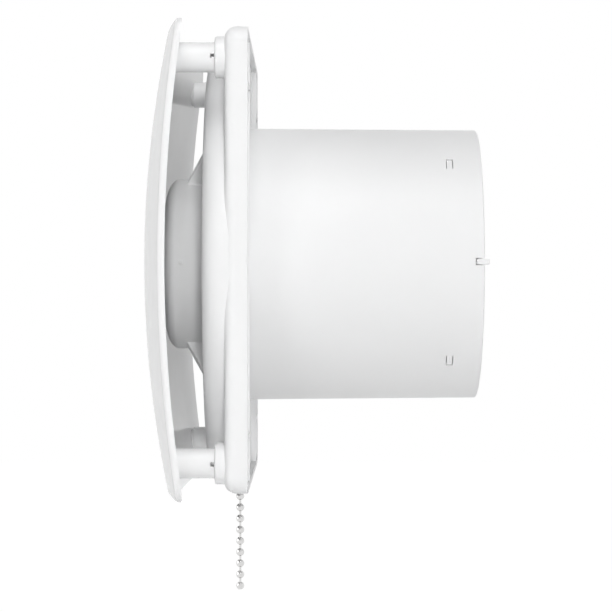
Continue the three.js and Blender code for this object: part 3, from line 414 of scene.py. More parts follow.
def spun(bm, degrees):
    """Turns a shape about the duct's axis."""
    bmesh.ops.rotate(bm, cent=(0, 0, 0), matrix=Matrix.Rotation(math.radians(degrees), 3, "X"),
                     verts=bm.verts)
    return bm


def moved(bm, *vec):
    bmesh.ops.translate(bm, vec=vec, verts=bm.verts)
    return bm


def together(shapes):
    """Several shapes that don't touch, as one."""
    whole = bmesh.new()
    for bm in shapes:
        spare = bpy.data.meshes.new("spare")
        bm.to_mesh(spare)
        bm.free()
        whole.from_mesh(spare)
        bpy.data.meshes.remove(spare)
    return whole


def rough_object(bm):
    mesh = bpy.data.meshes.new("rough")
    bm.to_mesh(mesh)
    bm.free()
    rough = bpy.data.objects.new("rough", mesh)
    bpy.context.scene.collection.objects.link(rough)
    return rough


def combined(base, *steps):
    """Joins to, or cuts from, a shape: each step is an operation and the shapes it works with."""
    target = rough_object(base)
    tools = []
    for operation, shapes in steps:
        tool = rough_object(together(shapes) if isinstance(shapes, list) else shapes)
        tool.hide_render = True
        change = target.modifiers.new(operation.lower(), "BOOLEAN")
        change.operation = operation
        change.solver = "EXACT"
        change.object = tool
        tools.append(tool)
    graph = bpy.context.evaluated_depsgraph_get()
    mesh = bpy.data.meshes.new_from_object(target.evaluated_get(graph))
    whole = bmesh.new()
    whole.from_mesh(mesh)
    bpy.data.meshes.remove(mesh)
    for rough in [target, *tools]:
        spare = rough.data
        bpy.data.objects.remove(rough)
        bpy.data.meshes.remove(spare)
    bmesh.ops.remove_doubles(whole, verts=whole.verts, dist=1e-4)
    bmesh.ops.dissolve_degenerate(whole, edges=whole.edges, dist=1e-4)
    return whole


def piece(name, bm, body, slot, nodes=()):
    """Finishes a shape: metres, smooth faces with sharp creases, its material and its body."""
    crease = math.radians(32)
    bmesh.ops.scale(bm, vec=(MM, MM, MM), verts=bm.verts)
    for face in bm.faces:
        face.smooth = True
    for edge in bm.edges:
        edge.smooth = len(edge.link_faces) == 2 and edge.calc_face_angle(0) < crease
    mesh = bpy.data.meshes.new(name)
    bm.to_mesh(mesh)
    bm.free()
    mesh.materials.append(FINISHES[slot])
    made = bpy.data.objects.new(name, mesh)
    bpy.context.scene.collection.objects.link(made)
    weighted = made.modifiers.new("flat faces stay flat", "WEIGHTED_NORMAL")
    weighted.keep_sharp = True
    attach(made, body)
    if nodes:
        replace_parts(made, *nodes)
    return made


# ------------------------------------------------------------------ bead chain

def bead(z):
    """One hollow bead: a ball with a small hole at each pole, where the link goes in."""
    skin = [(BEAD_RADIUS * math.cos(math.radians(a)), BEAD_RADIUS * math.sin(math.radians(a)))
            for a in range(24, 157, 11)]
    hole = [(skin[-1][0] + BEAD_WALL, BEAD_HOLE), (skin[0][0] - BEAD_WALL, BEAD_HOLE)]
    return turned(skin + hole, axis="Z", centre=(CHAIN_X, 0, z), sides=24)


def wire(name, route, radius, slot, body):
    """A round wire along a route of points."""
    path = bpy.data.curves.new(name, "CURVE")
    path.dimensions = "3D"
    path.bevel_depth = radius * MM
    path.bevel_resolution = 4
    path.use_fill_caps = True
    line = path.splines.new("POLY")
    line.points.add(len(route) - 1)
    for point, place in zip(line.points, route):
        point.co = (*(Vector(place) * MM), 1)
    path.materials.append(FINISHES[slot])
    made = bpy.data.objects.new(name, path)
    bpy.context.scene.collection.objects.link(made)
    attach(made, body)
    return made


def chain_wire(name, top, bottom, body):
    """The link wire that runs through a row of beads."""
    steps = 24
    route = [(CHAIN_X, 0, top + (bottom - top) * i / steps) for i in range(steps + 1)]
    return wire(name, route, LINK_RADIUS, "chain_plating", body)


def bead_row(first, count):
    return together([bead(first - i * BEAD_PITCH) for i in range(count)])


chain_foot = chain_low.z + BEAD_RADIUS + 0.01
first_hanging = chain_foot + (BEADS_HANGING - 1) * BEAD_PITCH
first_inside = first_hanging + BEADS_INSIDE * BEAD_PITCH
link_bottom = chain_foot - BEAD_RADIUS + 0.2

hanging_beads = piece("hanging_beads", bead_row(first_hanging, BEADS_HANGING), "chain",
                      "chain_plating")
hanging_link = chain_wire("hanging_link", chain_high.z, link_bottom, "chain")
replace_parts(hanging_link, "chain_hanging")

piece("upper_beads", bead_row(first_inside, BEADS_INSIDE), "pull", "chain_plating",
      ["chain_inside"])
chain_wire("upper_link", first_inside, chain_high.z + RUNNING_GAP, "pull")


# ------------------------------------------------------------------ front panel

PANEL_HALF = panel_high.y
PANEL_APEX = panel_low.x
PANEL_BOW_ACROSS = 358.0    # radius of the panel's front from side to side
PANEL_BOW_UP = 380.0        # and from bottom to top
PANEL_CORNER_EASE = 5.5e-8  # how much its corners lie forward of those two bows
PANEL_THICK = 2.2
PANEL_CORNER = 7.5
PANEL_CELLS = 28


def bow(radius, reach):
    return radius - math.sqrt(radius ** 2 - reach ** 2)


def dome(y, z):
    """How far back the panel's front lies at a place across and up: it bows like a pillow."""
    return bow(PANEL_BOW_ACROSS, y) + bow(PANEL_BOW_UP, z) - PANEL_CORNER_EASE * (y * z) ** 2


def panel_plate():
    """A rounded plate, cut into a fine grid and bent to the dome."""
    front_edge, rear_edge = 1.5, 0.4
    bm = rounded_plate(PANEL_HALF, PANEL_CORNER, PANEL_APEX, PANEL_APEX + PANEL_THICK,
                       front_edge, rear_edge, 6)
    for normal in ((0, 1, 0), (0, 0, 1)):
        for i in range(1, PANEL_CELLS):
            at = Vector(normal) * (PANEL_HALF * (2 * i / PANEL_CELLS - 1))
            bmesh.ops.bisect_plane(bm, geom=list(bm.verts) + list(bm.edges) + list(bm.faces),
                                   dist=1e-4, plane_co=at, plane_no=normal)
    for vert in bm.verts:
        vert.co.x += dome(vert.co.y, vert.co.z)
    bmesh.ops.triangulate(bm, faces=bm.faces)
    return bm


def gusset(y, z):
    """The small web between a lower post and the panel."""
    drop, reach, inside_post = 4.7, 6.2, 0.6
    upper = z - POST_RADIUS + inside_post
    lower = upper - drop - inside_post
    root, foot = PANEL_APEX + dome(y, upper), PANEL_APEX + dome(y, lower)
    outline = [
        (root + PANEL_THICK / 2, y - RIB / 2, upper),
        (root + PANEL_THICK + reach, y - RIB / 2, upper),
        (foot + PANEL_THICK, y - RIB / 2, lower),
        (foot + PANEL_THICK / 2, y - RIB / 2, lower),
    ]
    return extruded(outline, (0, RIB, 0), 0.15)


def front_panel():
    """The bowed plate with its four hollow posts, their catch windows and the gussets."""
    post_end, post_foot, post_bore = -5.0, 1.6, 3.5
    catch_front, catch_back, catch_half = COLLAR_FRONT - 1.4, COLLAR_FRONT - 0.02, 0.75
    posts, bores, catches = [], [], []
    for y, z in corner_places(POST_SPOT):
        root = PANEL_APEX + dome(y, z) + PANEL_THICK / 2
        profile = [(root, 0), (root, post_bore), (root + post_foot, POST_RADIUS),
                   (post_end, POST_RADIUS), (post_end, 0)]
        posts.append(turned(profile, {3: 0.3}, centre=(0, y, z), sides=COLLAR))
        bores.append(rod(root + PANEL_THICK * 2, post_end + 1, post_bore, centre=(0, y, z),
                         sides=COLLAR))
        catches.append(block((catch_front, y - 10, z - catch_half),
                             (catch_back, y + 10, z + catch_half)))
    gussets = [gusset(y, z) for y, z in corner_places(POST_SPOT) if z < 0]
    return combined(panel_plate(), ("UNION", posts), ("UNION", gussets),
                    ("DIFFERENCE", bores), ("DIFFERENCE", catches))


piece("front_cover", front_panel(), "panel", "panel_gloss", ["front_panel"])


# ------------------------------------------------------------------ face frame

def ring_wall():
    """The inlet ring: outer round, flat crest and bell mouth, in one even wall."""
    crest = RING_RADIUS - RING_ROUND
    height = -FRAME_DEPTH - RING_FRONT
    bell = BELL_BACK - RING_FRONT
    root = FACE_BACK - OVERLAP
    outside = [(root, RING_RADIUS)]
    outside += ellipse_arc(-FRAME_DEPTH, crest, -height, RING_ROUND, 90, 0, 18)
    outside += ellipse_arc(BELL_BACK, MOUTH_RADIUS, -bell, -(MOUTH_RADIUS - BORE), 0, 90, 22)
    inside = ellipse_arc(BELL_BACK, MOUTH_RADIUS, WALL - bell, -(MOUTH_RADIUS - BORE - WALL),
                         90, 0, 14)
    inside += ellipse_arc(-FRAME_DEPTH, crest, WALL - height, RING_ROUND - WALL, 0, 90, 12)
    inside += [(root, RING_RADIUS - WALL)]
    return turned(outside + inside)


def face_frame():
    """The square shell with its inlet ring, post collars and screw bosses, open to the rear."""
    inner_half = FRAME_HALF - WALL
    inner_corner, guide_seat, mark_depth, mark_half = 0.8, 2.6, 0.6, 1.2
    guide_hole = rod(-FRAME_HALF - 1, -inner_half + 3, guide_seat, axis="Z",
                     centre=(CHAIN_X, 0, 0), sides=SMALL)
    hollow = rounded_plate(inner_half, FRAME_CORNER - WALL, FACE_BACK, 1, inner_corner)
    inlet_hole = rod(-FRAME_DEPTH - 1, FACE_BACK + 0.5, RING_RADIUS - WALL / 2)
    screw_holes = [rod(-FRAME_DEPTH - 1, 0, WALL_SCREW_HOLE, centre=(0, y, z), sides=SMALL)
                   for y, z in corner_places(WALL_SCREW_SPOT)]
    level_mark = block((-mark_depth, -FRAME_HALF - 1, -mark_half), (1, -inner_half + 1, mark_half))
    collar_profile = [(COLLAR_FRONT, 0), (COLLAR_FRONT, COLLAR_RADIUS),
                      (FACE_BACK - OVERLAP, COLLAR_RADIUS), (FACE_BACK - OVERLAP, 0)]
    collars = [turned(collar_profile, {1: 0.8}, centre=(0, y, z), sides=COLLAR)
               for y, z in corner_places(POST_SPOT)]
    post_holes = [rod(COLLAR_FRONT - 1, 0, POST_RADIUS + RUNNING_GAP, centre=(0, y, z), sides=COLLAR)
                  for y, z in corner_places(POST_SPOT)]
    bosses = [tube(RING_FRONT + WALL / 2, PLATE_FRONT - RUNNING_GAP, FRAME_SCREW_HOLE,
                   2 * FRAME_SCREW_HOLE, centre=(0, y, z), sides=SMALL)
              for y, z in corner_places(SCREW_SPOT)]
    shell = rounded_plate(FRAME_HALF, FRAME_CORNER, -FRAME_DEPTH, 0, FRAME_FILLET, 0.3)
    return combined(shell, ("DIFFERENCE", hollow), ("DIFFERENCE", inlet_hole),
                    ("UNION", ring_wall()), ("UNION", collars), ("UNION", bosses),
                    ("DIFFERENCE", post_holes), ("DIFFERENCE", screw_holes),
                    ("DIFFERENCE", [guide_hole, level_mark]))


piece("frame_moulding", face_frame(), "housing", "white_plastic", ["face_frame"])


# ------------------------------------------------------------------ inlet guard and its cap

POD_RADIUS = 31.2
POD_WALL = 1.6
POD_FRONT = guard_low.x
POD_BACK = -5.0
ARM_RIBS = 7                # ribs of the arm above the pod, and of the one below it
ARM_RIB_PITCH = 7.2         # degrees
GUARD_RIB = 1.2
RIM_DEPTH = 4.3             # of the guard's rim, which stands in the duct's bore
RIM_WALL = 1.5
RIM_FLANGE = 1.4


def guard_rib():
    """One rib, running back and outwards from the pod to the bell mouth."""
    ease = 2 * RUNNING_GAP
    throat = ellipse_arc(BELL_BACK, MOUTH_RADIUS, -(BELL_BACK - RING_FRONT + ease),
                         -(MOUTH_RADIUS - BORE + ease), 45, 70, 8)
    rim_front = BELL_BACK + RUNNING_GAP - RIM_DEPTH
    rim_inner = BORE - RUNNING_GAP - RIM_WALL
    root, root_depth = POD_RADIUS - POD_WALL / 2, 6.6
    outline = [(POD_FRONT, root), (POD_FRONT, POD_RADIUS), *throat,
               (rim_front + 1, rim_inner + 0.5), (rim_front, rim_inner + 0.5),
               (POD_FRONT + root_depth, root)]
    points = [(x, -GUARD_RIB / 2, r) for x, r in outline]
    return extruded(points, (0, GUARD_RIB, 0), 0.18)


def inlet_guard():
    """The motor's pod, its two arms of ribs and the rim that holds it in the duct."""
    rim_outer = BORE - RUNNING_GAP
    rim_inner = rim_outer - RIM_WALL
    flange = BELL_BACK + RUNNING_GAP
    shaft_hole, motor_screw_spot, motor_screw_hole = 5.5, 20, 1.6
    rim = turned([(flange - RIM_DEPTH, rim_inner), (flange - RIM_DEPTH, rim_outer),
                  (flange, rim_outer), (flange, rim_outer + WALL),
                  (flange + RIM_FLANGE, rim_outer + WALL), (flange + RIM_FLANGE, rim_inner)],
                 {0: 0.3, 1: 0.3})
    pod = tube(POD_FRONT, POD_BACK, POD_RADIUS - POD_WALL, POD_RADIUS)
    floor = tube(POD_BACK - WALL, POD_BACK - 0.01, shaft_hole, POD_RADIUS - POD_WALL / 2)
    ribs = [spun(guard_rib(), arm + ARM_RIB_PITCH * (i - (ARM_RIBS - 1) / 2))
            for arm in (0, 180) for i in range(ARM_RIBS)]
    screw_holes = [rod(POD_BACK - WALL - 1, POD_BACK + 1, motor_screw_hole, centre=(0, y, 0),
                       sides=SMALL) for y in (motor_screw_spot, -motor_screw_spot)]
    return combined(together([rim, pod]), ("UNION", ribs), ("UNION", floor),
                    ("DIFFERENCE", screw_holes))


def pod_cap():
    """The motor's domed cap, with its rounded shoulder and crown."""
    skirt_front = -27.1
    shoulder, rise = 10.8, 5.1
    crown = POD_RADIUS - shoulder
    crown_front = skirt_front - rise
    apex = cap_low.x
    back = POD_FRONT - 0.02

    def crown_line(inset, steps):
        return [(crown_front + inset - (crown_front - apex) * (1 - (1 - i / steps) ** 2),
                 crown * (1 - i / steps)) for i in range(1, steps + 1)]

    outside = ellipse_arc(skirt_front, crown, -rise, shoulder, 90, 0, 16) + crown_line(0, 14)
    inside = ellipse_arc(skirt_front, crown, POD_WALL - rise, shoulder - POD_WALL, 90, 0, 10)
    inside += crown_line(POD_WALL, 8)
    lip = POD_RADIUS - POD_WALL - RUNNING_GAP
    profile = [(back, lip), (back, POD_RADIUS), *outside, *reversed(inside),
               (back + 3, lip - 1.1), (back + 3, lip)]
    shell = turned(profile)
    latches = []
    for side in (-1, 1):
        near, far = sorted((side * (POD_RADIUS - 0.6), side * (POD_RADIUS + 0.9)))
        latches.append(block((-25.8, near, -0.6), (-24.2, far, 0.6), 0.25))
    return combined(shell, ("UNION", latches))


piece("guard_moulding", inlet_guard(), "housing", "white_plastic", ["inlet_guard"])
piece("cap_moulding", pod_cap(), "housing", "white_plastic", ["pod_cap"])


# ------------------------------------------------------------------ duct casing

WINDOW_X = DUCT_END - 11.5   # middle of the four snap windows
WINDOW_HALF = 1.25          # half their size along the duct
WINDOW_SIDE = 2.5           # and round it
CABLE_HOLE = (27.0, MOUTH_RADIUS + WALL)
CABLE_HOLE_RADIUS = 4.5
SWITCH_OPENING = (-11.6, 3.3)   # across, below the duct
LEVEL_SPOT = FRAME_HALF - 19    # height of the level ribs above and below the axis


def duct_casing():
    """The rear plate with its ribs and holes, and the spigot that stands on it."""
    plate_half = FRAME_HALF - WALL - RUNNING_GAP
    rib_half = plate_half - OVERLAP
    root = 1.2
    fillet = ellipse_arc(PLATE_BACK + root, DUCT_RADIUS + root, -root, -root, 0, 90, 6)
    seat = PLATE_FRONT + 1.7
    spigot = turned([(PLATE_FRONT, BORE + WALL), (PLATE_FRONT, BORE + 2 * WALL),
                     (PLATE_BACK, BORE + 2 * WALL), *fillet,
                     (DUCT_END, DUCT_END_RADIUS), (DUCT_END, BORE),
                     (seat, BORE), (seat, BORE + WALL)],
                    {3 + len(fillet): 0.6, 4 + len(fillet): 0.3})
    plate = rounded_plate(plate_half, FRAME_CORNER - WALL - RUNNING_GAP, PLATE_FRONT, PLATE_BACK)
    plate_hole = rod(PLATE_FRONT - 1, 0, BORE + 1.5 * WALL)
    uprights = [block((PLATE_BACK - OVERLAP, side * DUCT_RADIUS - RIB / 2, -rib_half),
                      (0, side * DUCT_RADIUS + RIB / 2, rib_half)) for side in (-1, 1)]
    rib_room = rod(-FRAME_DEPTH, 1, BORE + WALL / 2)
    levels = []
    for side in (-1, 1):
        near, far = sorted((side * DUCT_RADIUS, side * rib_half))
        for z in (LEVEL_SPOT, -LEVEL_SPOT):
            levels.append(block((PLATE_BACK - OVERLAP, near, z - RIB / 2), (0, far, z + RIB / 2)))
    windows = [spun(block((WINDOW_X - WINDOW_HALF, -WINDOW_SIDE, BORE - 1),
                          (WINDOW_X + WINDOW_HALF, WINDOW_SIDE, DUCT_RADIUS + 1)), angle)
               for angle in EVERY_QUARTER]
    notch_depth, notch_half = 3.3, 1.3
    notches = []
    for side in (-1, 1):
        near, far = sorted((side * (BORE - 1), side * (DUCT_RADIUS + 1)))
        notches.append(block((DUCT_END - notch_depth, near, -notch_half),
                             (DUCT_END + 1, far, notch_half)))
    hole_sizes = ((SCREW_SPOT, FRAME_SCREW_HOLE), (WALL_SCREW_SPOT, WALL_SCREW_HOLE + RUNNING_GAP),
                  (POST_SPOT, POST_RADIUS))
    holes = [rod(PLATE_FRONT - 1, 0.5, radius, centre=(0, y, z), sides=SMALL)
             for spot, radius in hole_sizes for y, z in corner_places(spot)]
    holes.append(rod(PLATE_FRONT - 1, 0.5, CABLE_HOLE_RADIUS, centre=(0, *CABLE_HOLE), sides=SMALL))
    holes.append(block((PLATE_FRONT - 1, SWITCH_OPENING[0], -FRAME_HALF),
                       (1, SWITCH_OPENING[1], -MOUTH_RADIUS - WALL)))
    ribs = combined(uprights[0], ("UNION", uprights[1]), ("UNION", levels),
                    ("DIFFERENCE", rib_room))
    rear = combined(plate, ("DIFFERENCE", plate_hole), ("UNION", ribs))
    return combined(rear, ("UNION", spigot), ("DIFFERENCE", holes),
                    ("DIFFERENCE", windows + notches))


piece("duct_moulding", duct_casing(), "housing", "white_plastic", ["duct_casing"])


# ------------------------------------------------------------------ back-draught damper

HINGE_X = DUCT_END - 11.4
DAMPER_RADIUS = BORE - 0.8
DAMPER_INNER = DAMPER_RADIUS - 1.6
DAMPER_BACK = DUCT_END - 0.9
FLAP_BACK = HINGE_X - 1.7
FLAP_FRONT = FLAP_BACK - 1
LEDGE_BACK = FLAP_FRONT - RUNNING_GAP
LEDGE_FRONT = LEDGE_BACK - 1.5
LEDGE_REACH = 2.6           # how far the ledge stands in from the ring
BAR_HALF = 2.2
PIN_HOLE = 1.1
TAB_EASE = 0.3              # how much smaller a tab is than its window, on each side
KNUCKLE = 2.2
KNUCKLE_LENGTH = 7
UPPER_KNUCKLES = (8, -31)
LOWER_KNUCKLES = (24, -15)


def damper_ring():
    """The ring that snaps into the duct's end, with the ledge and bar that the flaps shut on."""
    shell = turned([(damper_low.x, DAMPER_INNER), (damper_low.x, DAMPER_RADIUS),
                    (DAMPER_BACK, DAMPER_RADIUS), (DAMPER_BACK, DAMPER_INNER)],
                   {0: 0.3, 1: 0.3, 2: 0.4, 3: 0.4})
    ledge = tube(LEDGE_FRONT, LEDGE_BACK, DAMPER_INNER - LEDGE_REACH, DAMPER_INNER + 0.5)
    bar = block((LEDGE_FRONT, -DAMPER_INNER - 0.5, -BAR_HALF),
                (LEDGE_BACK, DAMPER_INNER + 0.5, BAR_HALF))
    seats, pegs = [], []
    for side in (-1, 1):
        near, far = sorted((side * (DAMPER_INNER - 2.4), side * (DAMPER_INNER + 0.6)))
        seats.append(block((LEDGE_BACK - 0.5, near, -BAR_HALF), (HINGE_X + BAR_HALF, far, BAR_HALF)))
        near, far = sorted((side * (DAMPER_RADIUS - 0.5), side * (DUCT_RADIUS - 0.2)))
        pegs.append(block((DAMPER_BACK - 2, near, -1), (damper_high.x, far, 1), 0.35))
    tab_half, tab_side = WINDOW_HALF - TAB_EASE, WINDOW_SIDE - TAB_EASE
    tabs = [spun(block((WINDOW_X - tab_half, -tab_side, DAMPER_RADIUS - 0.5),
                       (WINDOW_X + tab_half, tab_side, DUCT_RADIUS - 0.9)), angle)
            for angle in EVERY_QUARTER]
    pin_hole = rod(-DAMPER_RADIUS - 1, DAMPER_RADIUS + 1, PIN_HOLE, axis="Y",
                   centre=(HINGE_X, 0, 0), sides=SMALL)
    return combined(shell, ("UNION", ledge), ("UNION", bar), ("UNION", seats), ("UNION", pegs),
                    ("UNION", tabs), ("DIFFERENCE", pin_hole))


def damper_flap(own, others):
    """Half a disc with its hinge knuckles and room for the other flap's."""
    radius = DAMPER_INNER - 0.6
    disc = rod(FLAP_FRONT, FLAP_BACK, radius, 0.2)
    below = block((FLAP_FRONT - 1, -radius - 1, -radius - 1), (FLAP_BACK + 1, radius + 1, 0.4))
    room = [block((FLAP_FRONT - 1, y - 0.6, -1), (FLAP_BACK + 1, y + KNUCKLE_LENGTH + 0.6, 3.2))
            for y in (*others, -KNUCKLE_LENGTH / 2)]
    for side in (-1, 1):
        near, far = sorted((side * (DAMPER_INNER - 3.4), side * DAMPER_RADIUS))
        room.append(block((FLAP_FRONT - 1, near, 0), (FLAP_BACK + 1, far, 4)))
    knuckles = [rod(y, y + KNUCKLE_LENGTH, KNUCKLE, 0.15, axis="Y", centre=(HINGE_X, 0, 0),
                    sides=SMALL) for y in own]
    bores = [rod(y - 1, y + KNUCKLE_LENGTH + 1, 1.3, axis="Y", centre=(HINGE_X, 0, 0),
                 sides=SMALL) for y in own]
    return combined(disc, ("DIFFERENCE", below), ("DIFFERENCE", room), ("UNION", knuckles),
                    ("DIFFERENCE", bores))


def torsion_spring():
    """The spring round the pin; each of its legs lies on the back of a flap and swings with it."""
    thick, coil, turns, pitch, reach = 0.3, 1.95, 3, 1.3, 13
    start = -turns * pitch / 2
    middle = [(HINGE_X + coil * math.cos(TURN * i / 24), start + pitch * i / 24,
               -coil * math.sin(TURN * i / 24)) for i in range(turns * 24 + 1)]
    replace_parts(wire("spring_coil", middle, thick, "bright_steel", "housing"), "damper_spring")
    foot = FLAP_BACK + thick + RUNNING_GAP
    for side, body in ((1, "upper_flap"), (-1, "lower_flap")):
        leg = [(HINGE_X + coil + (foot - HINGE_X - coil) * share, side * start, side * reach * share)
               for share in (0, 0.25, 0.5, 0.75, 1)]
        wire(f"{body}_spring_leg", leg, thick, "bright_steel", body)


piece("damper_moulding", damper_ring(), "housing", "white_plastic", ["damper_ring"])
piece("upper_flap_moulding", damper_flap(UPPER_KNUCKLES, LOWER_KNUCKLES), "upper_flap",
      "flap_plastic", ["damper_flap_upper"])
piece("hinge_pin", rod(-DAMPER_RADIUS + 1, DAMPER_RADIUS - 1, 1, 0.2, axis="Y",
                       centre=(HINGE_X, 0, 0), sides=SMALL), "housing", "bright_steel",
      ["damper_pin"])
torsion_spring()


def lower_flap():
    flap = damper_flap(LOWER_KNUCKLES, UPPER_KNUCKLES)
    bmesh.ops.scale(flap, vec=(1, 1, -1), verts=flap.verts)
    bmesh.ops.reverse_faces(flap, faces=flap.faces)
    return flap


piece("lower_flap_moulding", lower_flap(), "lower_flap", "flap_plastic", ["damper_flap_lower"])


# ------------------------------------------------------------------ impeller

BLADES = 7
HUB_RADIUS = 24.0
HUB_FRONT = blade_low.x
HUB_BACK = blade_high.x
HUB_WALL = 1.8
BOSS_RADIUS = 4.5
BOSS_BACK = 14
SHAFT_FRONT = -26
SHAFT_BACK = 18
SHAFT_RADIUS = 2
SHAFT_HOLE = SHAFT_RADIUS + RUNNING_GAP


def blade_ring(bm, radius, share):
    """One section of a blade: a thin cambered foil wrapped round the hub's axis."""
    chord = 25 + 5 * share
    pitch = math.radians(42 - 18 * share)
    stations = [(1 - math.cos(math.pi * i / 12)) / 2 for i in range(13)]

    def foil(side):
        for t in stations:
            half = 1.5 * math.sqrt(t * (1 - t)) * (1.25 - 0.5 * t) + 0.12
            yield chord * (t - 0.5), 4 * 0.09 * chord * t * (1 - t) + side * half

    verts = []
    for along, across in [*foil(1), *reversed(list(foil(-1)))]:
        x = (HUB_FRONT + HUB_BACK) / 2 + along * math.sin(pitch) - across * math.cos(pitch)
        angle = -(along * math.cos(pitch) + across * math.sin(pitch)) / radius
        verts.append(bm.verts.new((x, radius * math.sin(angle), radius * math.cos(angle))))
    return [bm.edges.new(pair) for pair in zip(verts, verts[1:] + verts[:1])]


def blade():
    bm = bmesh.new()
    root, tip = HUB_RADIUS - 0.9, BORE - 1.6
    sections = 8
    rings = [blade_ring(bm, root + (tip - root) * i / sections, i / sections)
             for i in range(sections + 1)]
    for lower, upper in zip(rings, rings[1:]):
        bmesh.ops.bridge_loops(bm, edges=lower + upper)
    for end in (rings[0], rings[-1]):
        bmesh.ops.contextual_create(bm, geom=end)
    bmesh.ops.recalc_face_normals(bm, faces=bm.faces)
    return bm


def impeller():
    """The hollow hub with its boss, inner webs and blades."""
    skin = HUB_RADIUS - HUB_WALL
    hub = turned([(HUB_FRONT, SHAFT_HOLE), (HUB_FRONT, HUB_RADIUS), (HUB_BACK, HUB_RADIUS),
                  (HUB_BACK, skin), (HUB_FRONT + HUB_WALL, skin), (HUB_FRONT + HUB_WALL, BOSS_RADIUS),
                  (BOSS_BACK, BOSS_RADIUS), (BOSS_BACK, SHAFT_HOLE)],
                 {1: 2.4, 2: 0.3, 3: 0.3, 4: 0.8, 6: 0.3}, sides=112)
    webs = [spun(block((HUB_FRONT + 0.9, -0.6, 4.1), (HUB_FRONT + 9, 0.6, HUB_RADIUS - 0.9)),
                 360 * i / BLADES) for i in range(BLADES)]
    blades = [spun(blade(), 360 * i / BLADES) for i in range(BLADES)]
    return combined(hub, ("UNION", webs), ("UNION", blades))


piece("impeller_moulding", impeller(), "rotor", "impeller_plastic", ["impeller"])
piece("shaft", rod(SHAFT_FRONT, SHAFT_BACK, SHAFT_RADIUS, 0.4, sides=COLLAR), "rotor",
      "bright_steel", ["motor_shaft"])
piece("shaft_clip", tube(BOSS_BACK + 0.6, BOSS_BACK + 1.6, SHAFT_HOLE, 4.2, 0.15, sides=COLLAR),
      "rotor", "steel", ["impeller_clip"])


# ------------------------------------------------------------------ screws and chain guide

def cross_screw(y, z):
    """A pan-head screw seen from the rear, with its cross recess."""
    head = turned([(-10.9, 0), (-10.2, 1.2), (PLATE_BACK + 0.3, 1.3), (PLATE_BACK + 0.3, 2.8),
                   (-0.9, 2.8), (-0.3, 1.6), (-0.3, 0)], {4: 0.4, 5: 0.6}, centre=(0, y, z),
                  sides=COLLAR)
    long, thin = 1.5, 0.28
    arms = [moved(block((-1.1, -a, -b), (0.5, a, b)), 0, y, z)
            for a, b in ((long, thin), (thin, long))]
    return combined(head, ("DIFFERENCE", arms[0]), ("DIFFERENCE", arms[1]))


for number, place in enumerate(corner_places(SCREW_SPOT), 1):
    piece(f"cross_screw_{number}", cross_screw(*place), "housing", "steel",
          [f"frame_screw_{number}"])


def chain_guide():
    """The small eyelet that the chain comes out of."""
    bore, skin = BEAD_RADIUS + RUNNING_GAP, BEAD_RADIUS + RUNNING_GAP + 0.5
    low, seat = -FRAME_HALF, -FRAME_HALF + WALL + 1
    return turned([(low, skin), (seat, skin), (seat, skin + 0.7), (seat + 0.8, skin + 0.7),
                   (seat + 0.8, bore), (low + 0.6, bore), (low, bore + 0.3)],
                  {0: 0.1, 3: 0.15}, axis="Z", centre=(CHAIN_X, 0, 0), sides=COLLAR)


piece("chain_eyelet", chain_guide(), "housing", "white_plastic", ["chain_guide"])


# ------------------------------------------------------------------ CAD nodes that stay

for entry in frame["record"]["subparts"]:
    kept = frame["nodes"][entry["node"]]
    if not kept.hide_render:
        kept.data.materials.clear()
        kept.data.materials.append(FINISHES[entry["material_slot"]])


# ------------------------------------------------------------------ floor and light

def seen_directly(finish):
    """One for what the camera sees itself or in a reflection, none for light that bounces."""
    path = finish.node("LightPath")
    seen = Signal(finish, path.outputs["Is Camera Ray"])
    return (seen + Signal(finish, path.outputs["Is Glossy Ray"])
            + Signal(finish, path.outputs["Is Transmission Ray"]))


def lay_floor():
    bm = bmesh.new()
    bmesh.ops.create_grid(bm, x_segments=1, y_segments=1, size=4)
    bmesh.ops.translate(bm, vec=(0, 0, -0.35), verts=bm.verts)
    mesh = bpy.data.meshes.new("floor")
    bm.to_mesh(mesh)
    bm.free()
    finish = Finish("floor", Roughness=0.9, Base_Color=(0.85, 0.85, 0.85, 1))
    glow = finish.node("Emission", {}, {"Color": (1, 1, 1, 1), "Strength": 1.06})
    out = finish.nodes["Material Output"]
    blend = finish.node("MixShader", {}, {0: 0.94 * seen_directly(finish)})
    finish.links.new(finish.shader.outputs[0], blend.inputs[1])
    finish.links.new(glow.outputs[0], blend.inputs[2])
    finish.links.new(blend.outputs[0], out.inputs["Surface"])
    mesh.materials.append(finish.material)
    floor = bpy.data.objects.new("floor", mesh)
    bpy.context.scene.collection.objects.link(floor)


ROOM_LIGHT = 0.12           # the room's even light on the object; the room itself looks white


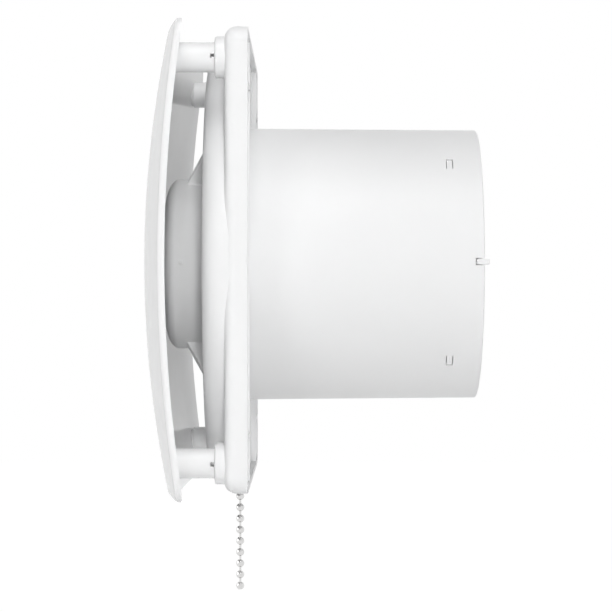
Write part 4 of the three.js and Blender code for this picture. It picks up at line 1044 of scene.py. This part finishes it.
def light_world():
    world = bpy.data.worlds.new("room")
    world.use_nodes = True
    nodes, links = world.node_tree.nodes, world.node_tree.links
    path = nodes.new("ShaderNodeLightPath")
    seen = path.outputs["Is Camera Ray"]
    for kind in ("Is Glossy Ray", "Is Transmission Ray"):
        either = nodes.new("ShaderNodeMath")
        either.operation = "MAXIMUM"
        links.new(seen, either.inputs[0])
        links.new(path.outputs[kind], either.inputs[1])
        seen = either.outputs[0]
    strength = nodes.new("ShaderNodeMapRange")
    strength.inputs["To Min"].default_value = ROOM_LIGHT
    strength.inputs["To Max"].default_value = 1.0
    links.new(seen, strength.inputs["Value"])
    links.new(strength.outputs[0], nodes["Background"].inputs["Strength"])
    nodes["Background"].inputs["Color"].default_value = (1, 1, 1, 1)
    bpy.context.scene.world = world


def soft_lamp(name, place, aim, size, power, glint=True):
    """An area lamp; without a glint it lights surfaces but isn't seen in their shine."""
    lamp = bpy.data.lights.new(name, "AREA")
    lamp.shape = "RECTANGLE"
    lamp.size, lamp.size_y = size
    lamp.energy = power
    made = bpy.data.objects.new(name, lamp)
    made.location = place
    made.visible_glossy = glint
    made.rotation_euler = (Vector(aim) - Vector(place)).to_track_quat("-Z", "Y").to_euler()
    bpy.context.scene.collection.objects.link(made)


lay_floor()
light_world()
soft_lamp("key", (0.09, -1.4, 0.04), (0, 0, 0), (0.12, 0.78), 7.0, glint=False)
soft_lamp("left", (-0.5, -1.3, 0.1), (0, 0, 0), (0.3, 0.8), 1.7, glint=False)
soft_lamp("right", (0.6, -1.2, 0.5), (0, 0, 0), (0.3, 0.8), 0.7, glint=False)
soft_lamp("upper", (0.06, -0.85, 1.15), (0, 0, 0), (0.3, 0.9), 4.9)
soft_lamp("overhead", (0.1, -0.3, 1.3), (0, -0.3, 0), (1.4, 1.4), 3.2)
soft_lamp("side", (-1.3, -0.2, 0.35), (0, 0, 0), (1, 1), 5.2)
soft_lamp("rear", (1.3, 0.3, 0.4), (0, 0, 0), (1, 1), 3.8, glint=False)
soft_lamp("back", (0, 1.4, 0.4), (0, 0, 0), (1, 1), 2.4, glint=False)

bpy.context.scene.view_settings.view_transform = "Standard"
